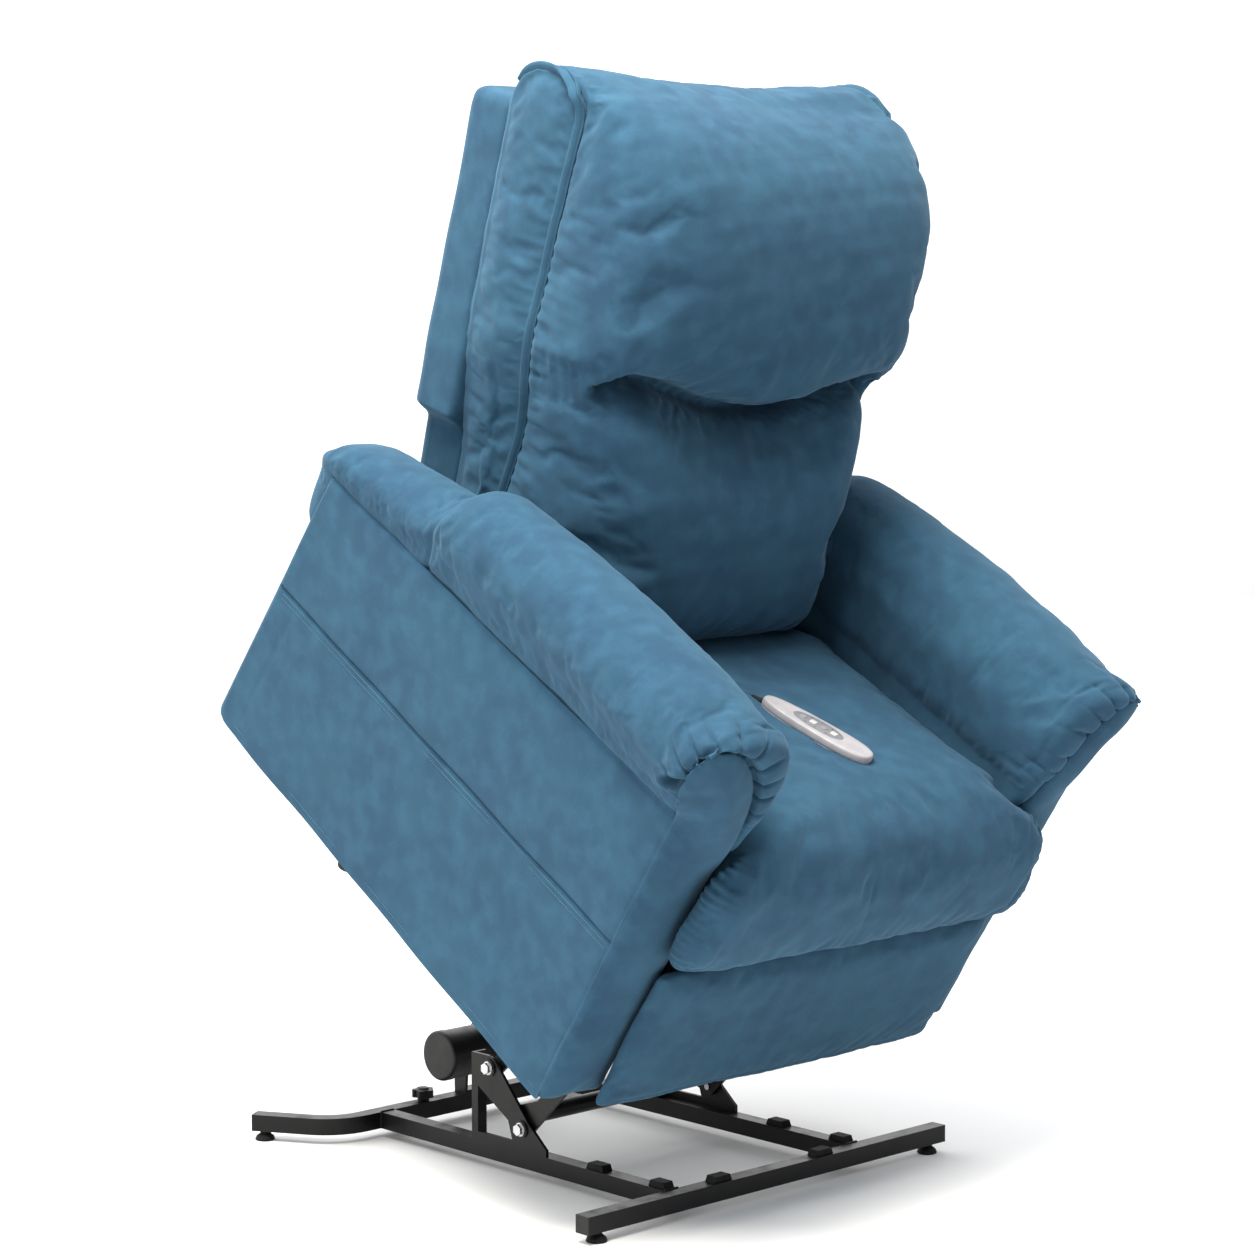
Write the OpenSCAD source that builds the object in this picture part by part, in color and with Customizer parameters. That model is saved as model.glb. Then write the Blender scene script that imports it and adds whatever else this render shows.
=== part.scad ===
// Lift recliner chair: a steel base that stands on the floor, a four-bar lift mechanism driven by
// one linear actuator, and an upholstered chair with a reclining back and a folding footrest.
// X runs across the chair, the chair faces -Y, Z is up, and the floor is z = 0.
// The pieces are drawn with the chair raised: "left" is -X, as seen from the front.

/* [Base] */
// Side of the square base tube
tube = 25.4; // [22:0.2:30]
// Wall of the square base tube
tube_wall = 2; // [1.5:0.1:3]
// Length of the front bar
front_bar_w = 735; // [680:5:780]
// Width over the two side rails
rail_span = 396; // [390:2:400]
// Length of each side rail
rail_len = 623; // [615:1:635]
// Half of the straight middle of the rear bar
rear_straight = 225; // [215:5:240]
// Bend radius of the outriggers at the tube's centre
outrigger_r = 80; // [60:5:100]
// Angle that the outriggers bend rearward
outrigger_bend = 59; // [50:1:70]
// Straight length of each outrigger past its bend
outrigger_len = 92; // [80:2:110]
// Diameter of the feet
foot_d = 30; // [22:1:36]
// Height of the feet
foot_h = 15; // [12:0.5:17]

/* [Lift mechanism] */
// Forward tilt of the raised chair in degrees
lift_tilt = 33; // [28:1:35]
// Height of the chair's bottom edge when raised
lift_height = 200; // [190:2:215]
// Height of the chair's bottom edge when seated
seat_down_height = 55; // [52:1:60]
// Rise of the upper fixed pivot above the floor
upper_pivot_z = 152; // [148:1:156]
// Distance of the upper fixed pivot behind the base's front
upper_pivot_y = 396; // [392:1:400]
// Rise of the lower fixed pivot above the floor
lower_pivot_z = 73; // [70:1:76]
// Distance of the lower fixed pivot behind the base's front
lower_pivot_y = 325; // [321:1:329]
// Thickness of the lift links and uprights
link_t = 5; // [4:0.2:5.4]
// Half width of a lift link
link_r = 14; // [12:0.5:15]
// Radius of the lift pivots
pivot_r = 5; // [4:0.25:6]

/* [Actuator] */
// Diameter of the motor
motor_d = 77.6; // [68:0.4:80]
// Length of the motor with its cap
motor_len = 100; // [90:1:104]
// Outside diameter of the actuator tube
act_tube_d = 40; // [34:1:44]
// Diameter of the push rod
rod_d = 22; // [20:0.5:26]

/* [Chair] */
// Width over the outer side panels
chair_w = 820; // [800:2:840]
// Width of each arm
arm_w = 122; // [115:1:126]
// Depth of the side panels along the floor edge
side_depth = 855; // [845:1:870]
// Height of the side panels at the front
side_h_front = 495; // [485:1:500]
// Height of the side panels at the rear
side_h_rear = 458; // [450:1:465]
// Thickness of the side panels
panel_t = 12; // [8:0.5:14]
// Height of the seat over its frame at the front
seat_rise = 137; // [130:1:142]
// Fall of the seat from front to rear in degrees
seat_fall = 6.6; // [5.5:0.1:7.5]
// Play between a soft piece and what it lies on
soft_gap = 0.4; // [0.3:0.05:0.6]

/* [Backrest] */
// Lean of the upright back behind the vertical in degrees
back_lean = 16; // [14:0.5:17]
// Play between the back and each arm
back_play = 18; // [16:1:26]
// How much wider the back is on each side above the arms
back_flare = 35; // [25:1:42]
// Length of the back cushion from its hinge line to its top
back_h = 878; // [860:2:900]
// Depth of the back cushion's crown in front of its seam
back_crown = 200; // [185:1:210]

/* [Footrest] */
// Width of the footrest pad
foot_pad_w = 620; // [600:2:640]
// Height of the footrest pad
foot_pad_h = 242; // [232:1:243]

/* [Handset] */
// Length of the handset
handset_len = 181; // [170:1:190]
// Width of the handset
handset_w = 50; // [46:1:56]
// Thickness of the handset
handset_h = 24; // [21:0.5:28]
// Radius of a handset key
key_r = 5.4; // [4.8:0.1:6.2]
// Diameter of the handset cord
cord_d = 4.4; // [4:0.1:4.8]

/* [Hidden] */
$fn = 48;

// ---- small tools ----
eps = 0.01;
fit = 0.05;             // radial play of a pivot in its bore
LEFT = -1;
RIGHT = 1;
module on_side(s) mirror([s < 0 ? 1 : 0, 0, 0]) children();
module both_sides() for (s = [LEFT, RIGHT]) on_side(s) children();
// A y-z outline made into a plate from x0 to x1
module plate_x(x0, x1) translate([x0, 0, 0]) rotate([90, 0, 90]) linear_extrude(x1 - x0) children();
// A round bar along x through a y-z point
module bar_x(p, x0, x1, r) translate([x0, p.x, p.y]) rotate([0, 90, 0]) cylinder(h = x1 - x0, r = r);
// A box between two corners
module box(a, b) translate(a) cube(b - a);
function dir(a) = [cos(a), sin(a)];
function angle_of(v) = atan2(v.y, v.x);
function turn(v, a) = [v.x * cos(a) - v.y * sin(a), v.x * sin(a) + v.y * cos(a)];
function arc(c, r, a0, a1, n) = [for (i = [0:n]) c + r * dir(a0 + (a1 - a0) * i / n)];
function mid(p) = [for (k = [0:len(p[0]) - 1]) [for (q = p) q[k]] * [for (q = p) 1] / len(p)];
function spow(v, e) = sign(v) * pow(abs(v), e);
// Points round a squared oval of half sizes a and b: e = 2 is an ellipse, more is squarer
function oval(n, a, b, e) =
    [for (i = [0:n - 1]) let (t = 360 * (i + 0.5) / n) [a * spow(cos(t), 2 / e), b * spow(sin(t), 2 / e)]];
// Closed form through rings of points
module loft(rings) {
    n = len(rings[0]);
    m = len(rings);
    points = concat([for (r = rings) each r], [mid(rings[0]), mid(rings[m - 1])]);
    sides = [for (i = [0:m - 2], j = [0:n - 1])
        let (a = i * n + j, b = i * n + (j + 1) % n) each [[a, b, b + n], [a, b + n, a + n]]];
    caps = [for (j = [0:n - 1]) let (k = (j + 1) % n)
        each [[m * n, k, j], [m * n + 1, (m - 1) * n + j, (m - 1) * n + k]]];
    polyhedron(points, concat(sides, caps));
}
// Ring across x at one y, from [y, x_low, x_high, z_low, z_high]
function ring_y(s, n, e) = [for (p = oval(n, (s[2] - s[1]) / 2, (s[4] - s[3]) / 2, e))
    [p.x + (s[1] + s[2]) / 2, s[0], p.y + (s[3] + s[4]) / 2]];
eye_step = 0.2;         // a link's bar is this much narrower than its round ends, on each side
// Flat link outline with round ends
module link_2d(p, q, r) {
    bar_r = r - eye_step;
    translate(p) circle(r);
    translate(q) circle(r);
    translate(p) rotate(angle_of(q - p)) translate([0, -bar_r]) square([norm(q - p), 2 * bar_r]);
}

// ---- lift geometry ----
base_y = -226;          // front face of the base in the part's frame
rail_x = rail_span / 2 - tube / 2;
deck_z = foot_h + tube; // top of the base tubes
rear_y = tube + rail_len;
rear_mid_y = rear_y + tube / 2;
pivot_a = [upper_pivot_y, upper_pivot_z];
pivot_b = [lower_pivot_y, lower_pivot_z];
chair_up = [60, lift_height];
chair_down = [-60, seat_down_height];
// The point that the chair turns about between its raised and its seated place
pole = let (d = chair_up - turn(chair_down, lift_tilt), c = 1 - cos(lift_tilt), s = sin(lift_tilt))
    [c * d.x - s * d.y, s * d.x + c * d.y] / (c * c + s * s);
// A moving pivot of the raised chair, on the circle of radius r about the pole
function up_pivot(g, r) = pole + r * dir(angle_of(g - pole) + lift_tilt / 2);
function down_pivot(g, r) = pole + r * dir(angle_of(g - pole) - lift_tilt / 2);
link_c = up_pivot(pivot_a, 420);
link_d = up_pivot(pivot_b, 360);
chair_c = turn(link_c - chair_up, -lift_tilt);
chair_d = turn(link_d - chair_up, -lift_tilt);
upright_x1 = rail_span / 2;
upright_x0 = upright_x1 - link_t;
lower_x1 = upright_x0 - 2.5;
lower_x0 = lower_x1 - link_t;
upper_x1 = lower_x0 - 2;
upper_x0 = upper_x1 - link_t;
mech_t = 6;
mech_x1 = upper_x0 - 8.5;
mech_x0 = mech_x1 - mech_t;
pivot_head_t = 6;

// ---- actuator geometry ----
gear_pivot = [660, 100];
chair_e = [310, 195];
link_e = chair_up + turn(chair_e, lift_tilt);
act_angle = angle_of(link_e - gear_pivot);
act_len = norm(link_e - gear_pivot);
act_stroke = act_len - norm(chair_down + chair_e - gear_pivot);
gear_w = 44;
gear_len = 92;
tube_end = act_len - act_stroke - 36;
rod_grip = 40;
screw_d = 14;
rod_bore_d = screw_d + 1;
ear_gap = 1;
ear_t = 5;
eye_w = 24;
eye_r = 16;
drive_r = 16;
drive_at = chair_e + 38 * dir(130);

// ---- chair geometry ----
arm_out_x = chair_w / 2;
arm_in_x = arm_out_x - arm_w;
inner_t = 10;
seat_x = arm_in_x - 0.5;
seat_frame_z = 270;
seat_frame_h = 60;
seat_top_z = seat_frame_z + seat_frame_h;
spring_d = 3.8;
cushion_z = seat_top_z + spring_d + 1;
frame_front = 20;
frame_rear = 580;
frame_t = 24;
cord_x = arm_in_x - 3;
cord_y = 372;
mech_top = 255;
hinge_o = [620, 270];
side_top_y = side_depth - 37;           // the rear edge leans forward by this much
arm_rise = (side_h_rear - side_h_front) / side_top_y;
function arm_top(y) = side_h_front + arm_rise * y;
function seat_top(y) = seat_top_z + seat_rise - tan(seat_fall) * (y - 30);
back_low_half_w = arm_in_x - back_play;
back_half_w = back_low_half_w + back_flare;
back_d0 = 40;           // rear face of the back cushion, behind the hinge line
back_d1 = 125;          // rear face of the outer back
cover_low = 92;         // bottom edge of the outer back
cover_top = back_h - 70;
wide_from = 360;        // where the back grows wider than the gap between the arms

// ---- footrest geometry ----
foot_g1 = [125, 195];
foot_g2 = [58.5, 243];
foot_h1 = foot_g1 + 165 * dir(262);
foot_k = [12, 205];
foot_h2 = foot_h1 + 62 * dir(angle_of(foot_k - foot_h1));
foot_t = 4;
foot_r = 10;
foot_pin_r = 4;
lower_foot_x1 = mech_x0 - 2;
upper_foot_x1 = lower_foot_x1 - foot_t - 2;
rear_foot_x1 = upper_foot_x1 - foot_t - 2;

// ---- where each group stands ----
module at_base() translate([0, base_y, 0]) children();
module at_chair() at_base() translate([0, chair_up.x, chair_up.y]) rotate([lift_tilt, 0, 0]) children();
module at_back() at_chair() translate([0, hinge_o.x, hinge_o.y]) rotate([-back_lean, 0, 0]) children();
// Actuator frame: x across, +y along the push rod
module at_actuator() at_base() translate([0, gear_pivot.x, gear_pivot.y]) rotate([act_angle, 0, 0])
    children();
handset_heading = 17;
handset_mid = [7, 152];
module at_handset() at_chair() translate([handset_mid.x, handset_mid.y, seat_top(handset_mid.y) + soft_gap])
    rotate([-seat_fall, 0, 0]) rotate([0, 0, handset_heading]) children();

// ==== base ====
tube_in = tube - 2 * tube_wall;
tube_z = foot_h + tube / 2;
// Straight square bar of side w along x; a tube is one bar less a smaller one
module bar_along_x(x0, x1, y, w) translate([x0, y - w / 2, tube_z - w / 2]) cube([x1 - x0, w, w]);
plug_t = 3;
module base_front_bar() color("#1b1b1d") at_base() difference() {
    x = front_bar_w / 2 - plug_t;
    bar_along_x(-x, x, tube / 2, tube);
    bar_along_x(-x - 1, x + 1, tube / 2, tube_in);
}
module base_rail(s) color("#1b1b1d") at_base() on_side(s) difference() {
    box([rail_x - tube / 2, tube + eps, foot_h], [rail_x + tube / 2, rear_y - eps, deck_z]);
    box([rail_x - tube_in / 2, tube - 1, tube_z - tube_in / 2],
        [rail_x + tube_in / 2, rear_y + 1, tube_z + tube_in / 2]);
}
// The straight end of an outrigger starts here
bend_end = [rear_straight + outrigger_r * sin(outrigger_bend),
    rear_mid_y + outrigger_r * (1 - cos(outrigger_bend))];
module at_outrigger() translate([bend_end.x, bend_end.y, tube_z]) rotate([0, 0, outrigger_bend]) children();
// One side of the bent bar, at radius r about the bend's centre and on along the outrigger
function bar_edge(r, len) = let (c = [rear_straight, rear_mid_y + outrigger_r],
        bend = arc(c, r, -90, outrigger_bend - 90, 12)) concat(bend, [bend[12] + len * dir(outrigger_bend)]);
function reversed(p) = [for (i = [len(p) - 1:-1:0]) p[i]];
function across(p) = [for (q = p) [-q.x, q.y]];
// The bent bar of side w, carried past the outriggers' ends by extra
module rear_bar_path(w, extra) {
    front = bar_edge(outrigger_r + w / 2, outrigger_len - plug_t + extra);
    rear = bar_edge(outrigger_r - w / 2, outrigger_len - plug_t + extra);
    translate([0, 0, tube_z - w / 2]) linear_extrude(w)
        polygon(concat(front, reversed(rear), across(rear), reversed(across(front))));
}
module base_rear_bar() color("#1b1b1d") at_base() difference() {
    rear_bar_path(tube, 0);
    rear_bar_path(tube_in, 1);
}
// Plastic cap in a tube end: a face plate and a plug that fills the tube
module end_plug() {
    translate([0, -tube / 2, -tube / 2]) cube([plug_t, tube, tube]);
    plug = tube_in - 0.4;
    translate([-14, -plug / 2, -plug / 2]) cube([14 + eps, plug, plug]);
}
module base_end_plugs() color("#111113") at_base() both_sides() {
    translate([front_bar_w / 2 - plug_t, tube / 2, tube_z]) end_plug();
    at_outrigger() translate([outrigger_len - plug_t, 0, 0]) end_plug();
}
// Levelling foot: rubber disc with a rounded rim and a neck
module foot() rotate_extrude() polygon(concat(
    [[0, 0], [foot_d / 2 - 2, 0]],
    arc([foot_d / 2 - 2, 2], 2, -60, 60, 6),
    [[foot_d / 2 - 1.5, 6], [foot_d / 4, foot_h - 4], [foot_d / 4, foot_h], [0, foot_h]]));
module base_feet() color("#0f0f10") at_base() both_sides() {
    translate([front_bar_w / 2 - 27, tube / 2, 0]) foot();
    at_outrigger() translate([outrigger_len - 17, 0, -tube_z]) foot();
}
pad_h = 9;
// Rubber rest pad with sloped ends
module rest_pad(len) rotate([90, 0, 90]) translate([0, 0, -9]) linear_extrude(18)
    polygon([[-len / 2, 0], [len / 2, 0], [len / 2 - 4, pad_h], [-len / 2 + 4, pad_h]]);
module rail_pads() color("#141415") at_base() both_sides() {
    translate([rail_x, 173, deck_z]) rest_pad(36);
    translate([rail_x, 46, deck_z]) rest_pad(34);
    translate([105, tube / 2, deck_z]) rotate([0, 0, 90]) rest_pad(36);
}
// Upright: a gusset plate with a triangular window and a flange up its rear edge
post_y = 436;
post_h = 170;
module upright_outline() {
    lean = angle_of(pivot_a - pivot_b);
    front = pivot_b + 17 * dir(lean + 90);
    top = pivot_a + 17 * dir(lean + 90);
    window = pivot_b + 17 * dir(lean - 90);
    reach = (post_y - 14 - window.x) / cos(lean);
    difference() {
        union() {
            polygon([[272, deck_z], [272, deck_z + 10], front, top, [top.x + 14, post_h],
                [post_y, post_h], [post_y, deck_z]]);
            translate(pivot_b) circle(17);
            translate(pivot_a) circle(17);
        }
        polygon([[window.x + 12 * cos(lean), deck_z + 12], [post_y - 14, deck_z + 12],
            [post_y - 14, window.y + reach * sin(lean) - 34], window + 26 * dir(lean)]);
        translate(pivot_a) circle(pivot_r + fit);
        translate(pivot_b) circle(pivot_r + fit);
    }
}
module upright(s) color("#19191b") at_base() on_side(s) {
    plate_x(upright_x0, upright_x1) upright_outline();
    box([upright_x1 - 25, post_y - 5, deck_z + eps], [upright_x0 + eps, post_y, post_h]);
}
// Flanged hex bolt along x with its head outside
module flange_bolt(p, x0, x1) {
    bar_x(p, x0, x1 + 1, pivot_r);
    bar_x(p, x1, x1 + 2, pivot_r * 2);
    translate([x1 + 2 - eps, p.x, p.y]) rotate([0, 90, 0])
        cylinder(h = pivot_head_t, r = pivot_r * 1.7, $fn = 6);
}
washer_t = 2;
module base_pivot_bolts() color("#b9bcc0") at_base() {
    both_sides() {
        flange_bolt(pivot_a, upper_x0 - 2, upright_x1 + washer_t);
        flange_bolt(pivot_b, lower_x0 - 2, upright_x1 + washer_t);
    }
    bar_x(gear_pivot, -gear_w / 2 - ear_gap - ear_t - 4, gear_w / 2 + ear_gap + ear_t + 4, 6);
}
module bush(p, x0, x1, r) difference() {
    bar_x(p, x0, x1, r);
    bar_x(p, x0 - 1, x1 + 1, pivot_r + fit);
}
module base_pivot_bushes() color("#101012") at_base() both_sides() {
    bush(pivot_a, upper_x1 + 0.3, upright_x0 - 0.2, pivot_r * 1.8);
    bush(pivot_b, lower_x1 + 0.3, upright_x0 - 0.2, pivot_r * 2.2);
    for (p = [pivot_a, pivot_b]) bush(p, upright_x1, upright_x1 + washer_t, pivot_r * 2.6);
}
// Two ears on the rear bar that carry the gearbox pin
module actuator_bracket() color("#19191b") at_base() {
    ear_x = gear_w / 2 + ear_gap;
    for (s = [LEFT, RIGHT]) on_side(s) difference() {
        plate_x(ear_x, ear_x + ear_t) union() {
            translate(gear_pivot) circle(16);
            polygon([[rear_y, deck_z + 4], [gear_pivot.x - 15, gear_pivot.y - 6],
                [gear_pivot.x + 15, gear_pivot.y - 6], [rear_y + tube, deck_z + 4]]);
        }
        bar_x(gear_pivot, 0, ear_x + ear_t + 1, 6 + fit);
    }
    box([-ear_x - ear_t, rear_y, deck_z + eps], [ear_x + ear_t, rear_y + tube, deck_z + 5]);
}
// Five-lobed clamp knob on the rear bar
module star_knob() color("#0f0f10") at_base() translate([-103, rear_mid_y, deck_z]) {
    cylinder(h = 6, r = 9);
    translate([0, 0, 6 - eps]) linear_extrude(12) union() {
        circle(13);
        for (a = [0:72:359]) rotate(a) translate([12, 0]) circle(5.5);
    }
    translate([0, 0, 18 - 2 * eps]) cylinder(h = 3, r1 = 10, r2 = 7);
}

// ==== lift links ====
torque_at = pivot_b + 19 * dir(45);
torque_r = 13;
module lower_link(s) color("#26272a") at_base() on_side(s) plate_x(lower_x0, lower_x1) difference() {
    union() {
        link_2d(pivot_b, link_d, link_r);
        translate(torque_at) circle(torque_r + 6);
        polygon([pivot_b + [-14, -1], torque_at + (torque_r + 6) * dir(-45),
            torque_at + (torque_r + 6) * dir(90), pivot_b + [-24, 44]]);
    }
    for (p = [pivot_b, link_d]) translate(p) circle(pivot_r + fit);
}
module torque_tube() color("#1b1b1d") at_base() difference() {
    bar_x(torque_at, -lower_x0 + eps, lower_x0 - eps, torque_r);
    bar_x(torque_at, -lower_x0 - 1, lower_x0 + 1, torque_r - 2.5);
}
// Upper link with the rivet that it carries at the chair end
module upper_link(s) color("#8b8e92") at_base() on_side(s) {
    plate_x(upper_x0, upper_x1) difference() {
        link_2d(pivot_a, link_c, link_r - 1);
        translate(pivot_a) circle(pivot_r + fit);
        translate(link_c) circle(pivot_r);
        // pressed slot that lightens the bar
        link_2d(pivot_a + 0.3 * (link_c - pivot_a), pivot_a + 0.7 * (link_c - pivot_a), 4);
    }
    bar_x(link_c, mech_x1 + 0.5, upper_x1 + 1, pivot_r);
}

// ==== actuator ====
module actuator_gearbox() color("#222326") at_actuator() {
    difference() {
        union() {
            translate([-gear_w / 2, 0, -24]) cube([gear_w, gear_len, 48]);
            bar_x([0, 0], -gear_w / 2, gear_w / 2, 15);
            bar_x([motor_off.x, motor_off.y], -gear_w / 2, gear_w / 2, motor_d / 2 - 6);
        }
        bar_x([0, 0], -gear_w, gear_w, 6 + fit);
        translate([0, gear_len - 12, 0]) rotate([-90, 0, 0]) cylinder(h = 13, r = 9);
    }
}
// Place of the motor's axis in the actuator frame
motor_off = [58, 24];
module motor_housing() color("#161618") at_actuator() {
    bar_x(motor_off, -gear_w / 2 - 4, -gear_w / 2 - eps, motor_d / 2 - 3);
    bar_x(motor_off, -gear_w / 2 - motor_len + 14, -gear_w / 2 - 4 + eps, motor_d / 2 - 1);
}
module motor_cap() color("#1d1d20") at_actuator() {
    x1 = -gear_w / 2 - motor_len + 14 - eps;
    translate([x1, motor_off.x, motor_off.y]) rotate([0, -90, 0]) rotate_extrude()
        polygon(concat([[0, 0], [motor_d / 2, 0], [motor_d / 2, 8]],
            arc([motor_d / 2 - 5, 9], 5, 0, 90, 6), [[0, 14]]));
}
module along_rod(y0, y1, r) translate([0, y0, 0]) rotate([-90, 0, 0]) cylinder(h = y1 - y0, r = r);
module actuator_tube() color("#1b1b1d") at_actuator() difference() {
    union() {
        along_rod(gear_len + eps, tube_end, act_tube_d / 2);
        along_rod(gear_len + eps, gear_len + 14, act_tube_d / 2 + 3);
        along_rod(tube_end - 16, tube_end, act_tube_d / 2 + 2);
    }
    along_rod(gear_len + 10, tube_end + 1, rod_d / 2 + 0.2);
    along_rod(gear_len - 1, gear_len + 11, screw_d / 2 + 0.2);
}
module actuator_screw() color("#9fa2a6") at_actuator()
    along_rod(gear_len - 11, tube_end - 10, screw_d / 2);
module actuator_rod() color("#c4c7ca") at_actuator() {
    difference() {
        union() {
            along_rod(tube_end - rod_grip, act_len - eye_r + 4, rod_d / 2);
            bar_x([act_len, 0], -eye_w / 2, eye_w / 2, eye_r);
        }
        along_rod(tube_end - rod_grip - 1, act_len - eye_r - 20, rod_bore_d / 2);
        bar_x([act_len, 0], -eye_w, eye_w, 6);
    }
    bar_x([act_len, 0], -eye_w / 2, eye_w / 2, 6);
}

// ==== chair mechanism ====
cross_r = 12.5;
cross_at = [560, 200];
// Holes that lighten the side plates
front_hole = [142, 118];
front_hole_r = 28;
rear_hole = [433, 217];
rear_hole_gap = 68;
rear_hole_r = 17;
module mech_outline() {
    difference() {
        union() {
            polygon([chair_d + [-15, 0], chair_d + [0, -15], chair_c + [2, -15], chair_c + [15, 0],
                [206, 112], [262, 168], [520, 182], [590, 215], hinge_o + [16, -10], hinge_o + [14, 9],
                hinge_o + [-16, 9], [585, mech_top], [foot_g2.x, mech_top], foot_g2 + [-12, 0],
                [66, 190]]);
            for (p = [chair_d, chair_c]) translate(p) circle(15);
            translate(foot_g2) circle(12);
            translate(hinge_o) circle(17);
        }
        translate(chair_d) circle(pivot_r);
        translate(hinge_o) circle(pivot_r + 1 + fit);
        for (p = [foot_g1, foot_g2]) translate(p) circle(foot_pin_r + fit);
        translate(drive_at) circle(drive_r + fit);
        translate(cross_at) circle(cross_r + fit);
        translate(front_hole) circle(front_hole_r);
        for (i = [-1:1]) translate(rear_hole + [i * rear_hole_gap, 0]) circle(rear_hole_r);
    }
}
module mech_plates() color("#2a2b2e") at_chair() both_sides() plate_x(mech_x0, mech_x1) mech_outline();
module mech_pivot_bolts() color("#b4b7bb") at_chair() both_sides() {
    // shoulder studs of the lower lift links
    bar_x(chair_d, mech_x0, lower_x1 + 0.6, pivot_r);
    difference() {
        bar_x(chair_d, mech_x1 + eps, lower_x0 - 0.5, pivot_r * 1.8);
        bar_x(chair_d, mech_x1, lower_x0, pivot_r + fit);
    }
    bar_x(chair_d, lower_x1 + 0.6 - eps, lower_x1 + 4.5, pivot_r * 1.6);
    // back hinge bolts
    bar_x(hinge_o, mech_x0 - 4, back_plate_x1 + 0.6, pivot_r + 1);
    bar_x(hinge_o, back_plate_x1 + 0.6 - eps, back_plate_x1 + 5, pivot_r * 1.9);
    bar_x(hinge_o, mech_x0 - 8, mech_x0 - 4 + eps, pivot_r * 1.9);
    // footrest link studs
    bar_x(foot_g1, lower_foot_x1 - foot_t - 0.5, mech_x1, foot_pin_r);
    bar_x(foot_g2, rear_foot_x1 - foot_t - 0.5, mech_x1, foot_pin_r);
    for (p = [foot_g1, foot_g2]) bar_x(p, mech_x1 - eps, mech_x1 + 3, foot_pin_r * 1.8);
}
// Cross tube with the two ears that the push rod's pin lies between
module drive_tube() color("#1b1b1d") at_chair() {
    ear_x = eye_w / 2 + ear_gap;
    difference() {
        bar_x(drive_at, -mech_x1, mech_x1, drive_r);
        bar_x(drive_at, -mech_x1 - 1, mech_x1 + 1, drive_r - 2.5);
    }
    both_sides() plate_x(ear_x, ear_x + ear_t) difference() {
        union() {
            link_2d(drive_at, chair_e, 15);
            translate(drive_at) circle(drive_r + 6);
        }
        translate(drive_at) circle(drive_r);
    }
}
// Two flat cross rails under the seat frame and the rear cross tube
rail_y = [110, 480];
module cross_members() color("#1b1b1d") at_chair() {
    for (y = rail_y) box([-seat_x, y, mech_top + eps], [seat_x, y + 30, seat_frame_z - eps]);
    bar_x(cross_at, -mech_x1, mech_x1, cross_r);
}
// Hardwood rails round the seat, with the notch that the handset cord goes down
module seat_frame() color("#b08a5c") at_chair() {
    for (y = [frame_front, frame_rear - frame_t])
        box([-seat_x + frame_t, y, seat_frame_z], [seat_x - frame_t, y + frame_t, seat_top_z]);
    difference() {
        both_sides()
            box([seat_x - frame_t + eps, frame_front, seat_frame_z], [seat_x, frame_rear, seat_top_z]);
        box([-seat_x - 1, cord_y - 4, seat_top_z - 16],
            [-cord_x + cord_d / 2 + 0.8, cord_y + 4, seat_top_z + 1]);
    }
}
// One zigzag spring lying flat, drawn as round loops joined by straight runs
module zigzag(len, pitch, w) {
    count = floor(len / pitch);
    r = pitch / 2;
    for (i = [0:count - 1]) translate([(i % 2 == 0 ? 1 : -1) * (w / 2 - r), pitch * (i + 0.5)])
        intersection() {
            difference() {
                circle(r + spring_d / 2);
                circle(r - spring_d / 2);
            }
            translate([i % 2 == 0 ? 0 : -pitch, -pitch]) square([pitch, 2 * pitch]);
        }
    for (i = [0:count]) translate([-w / 2 + r, pitch * i - spring_d / 2]) square([w - 2 * r, spring_d]);
}
spring_pitch = 24;
spring_w = 52;
spring_count = 5;
spring_gap = 2 * (seat_x - frame_t) / spring_count;
spring_seat = 10;       // how far each end of a spring lies in from the rail's edge
module seat_springs() color("#75787c") at_chair()
    for (i = [0:spring_count - 1]) let (len = frame_rear - frame_front - 2 * spring_seat)
        translate([(i - (spring_count - 1) / 2) * spring_gap, frame_front + spring_seat, seat_top_z + eps])
            linear_extrude(spring_d) zigzag(len, spring_pitch, spring_w);
// Stations of the seat cushion: [y, half width, bottom, top]
seat_half = arm_in_x - 6;
front_half = seat_half + 58;
seat_low = 252;
seat_stations = [
    [-80, front_half - 70, 318, 396], [-75, front_half - 30, 284, 428],
    [-62, front_half - 8, 262, seat_top(-62) - 26],
    [-42, front_half, seat_low + 2, seat_top(-42) - 15], [-32, front_half, seat_low, seat_top(-32) - 10],
    [-30.5, seat_half, seat_low, seat_top(-30.5) - 9], [0, seat_half, seat_low, seat_top(0) - 2],
    [frame_front - 4, seat_half, seat_low + 3, seat_top(frame_front)],
    [frame_front - 2, seat_half, cushion_z, seat_top(frame_front)],
    [60, seat_half, cushion_z, seat_top(60)],
    [230, seat_half, cushion_z, seat_top(230)], [398, seat_half, cushion_z, seat_top(398)],
    [430, seat_half - 2, cushion_z, seat_top(430) - 7], [480, seat_half - 6, cushion_z, seat_top(480) - 17],
    [548, seat_half - 16, cushion_z + 4, seat_top(548) - 34]];
module seat_cushion() color("#35647f") at_chair()
    loft([for (s = seat_stations) ring_y([s[0], -s[1], s[1], s[2], s[3]], 36, 5)]);
module control_box() color("#1a1a1c") at_chair() difference() {
    a = [24, 512, cross_at.y];
    b = [134, 598, mech_top - 4];
    box(a, b);
    bar_x(cross_at, 0, b.x + 1, cross_r + fit);
    box(a - [1, 1, 1], [b.x + 1, cross_at.x, cross_at.y + 4]);
}

// ==== arms ====
corner_r = 38;
function side_rear(z) = side_depth + (side_top_y - side_depth) * z / side_h_rear;
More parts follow.
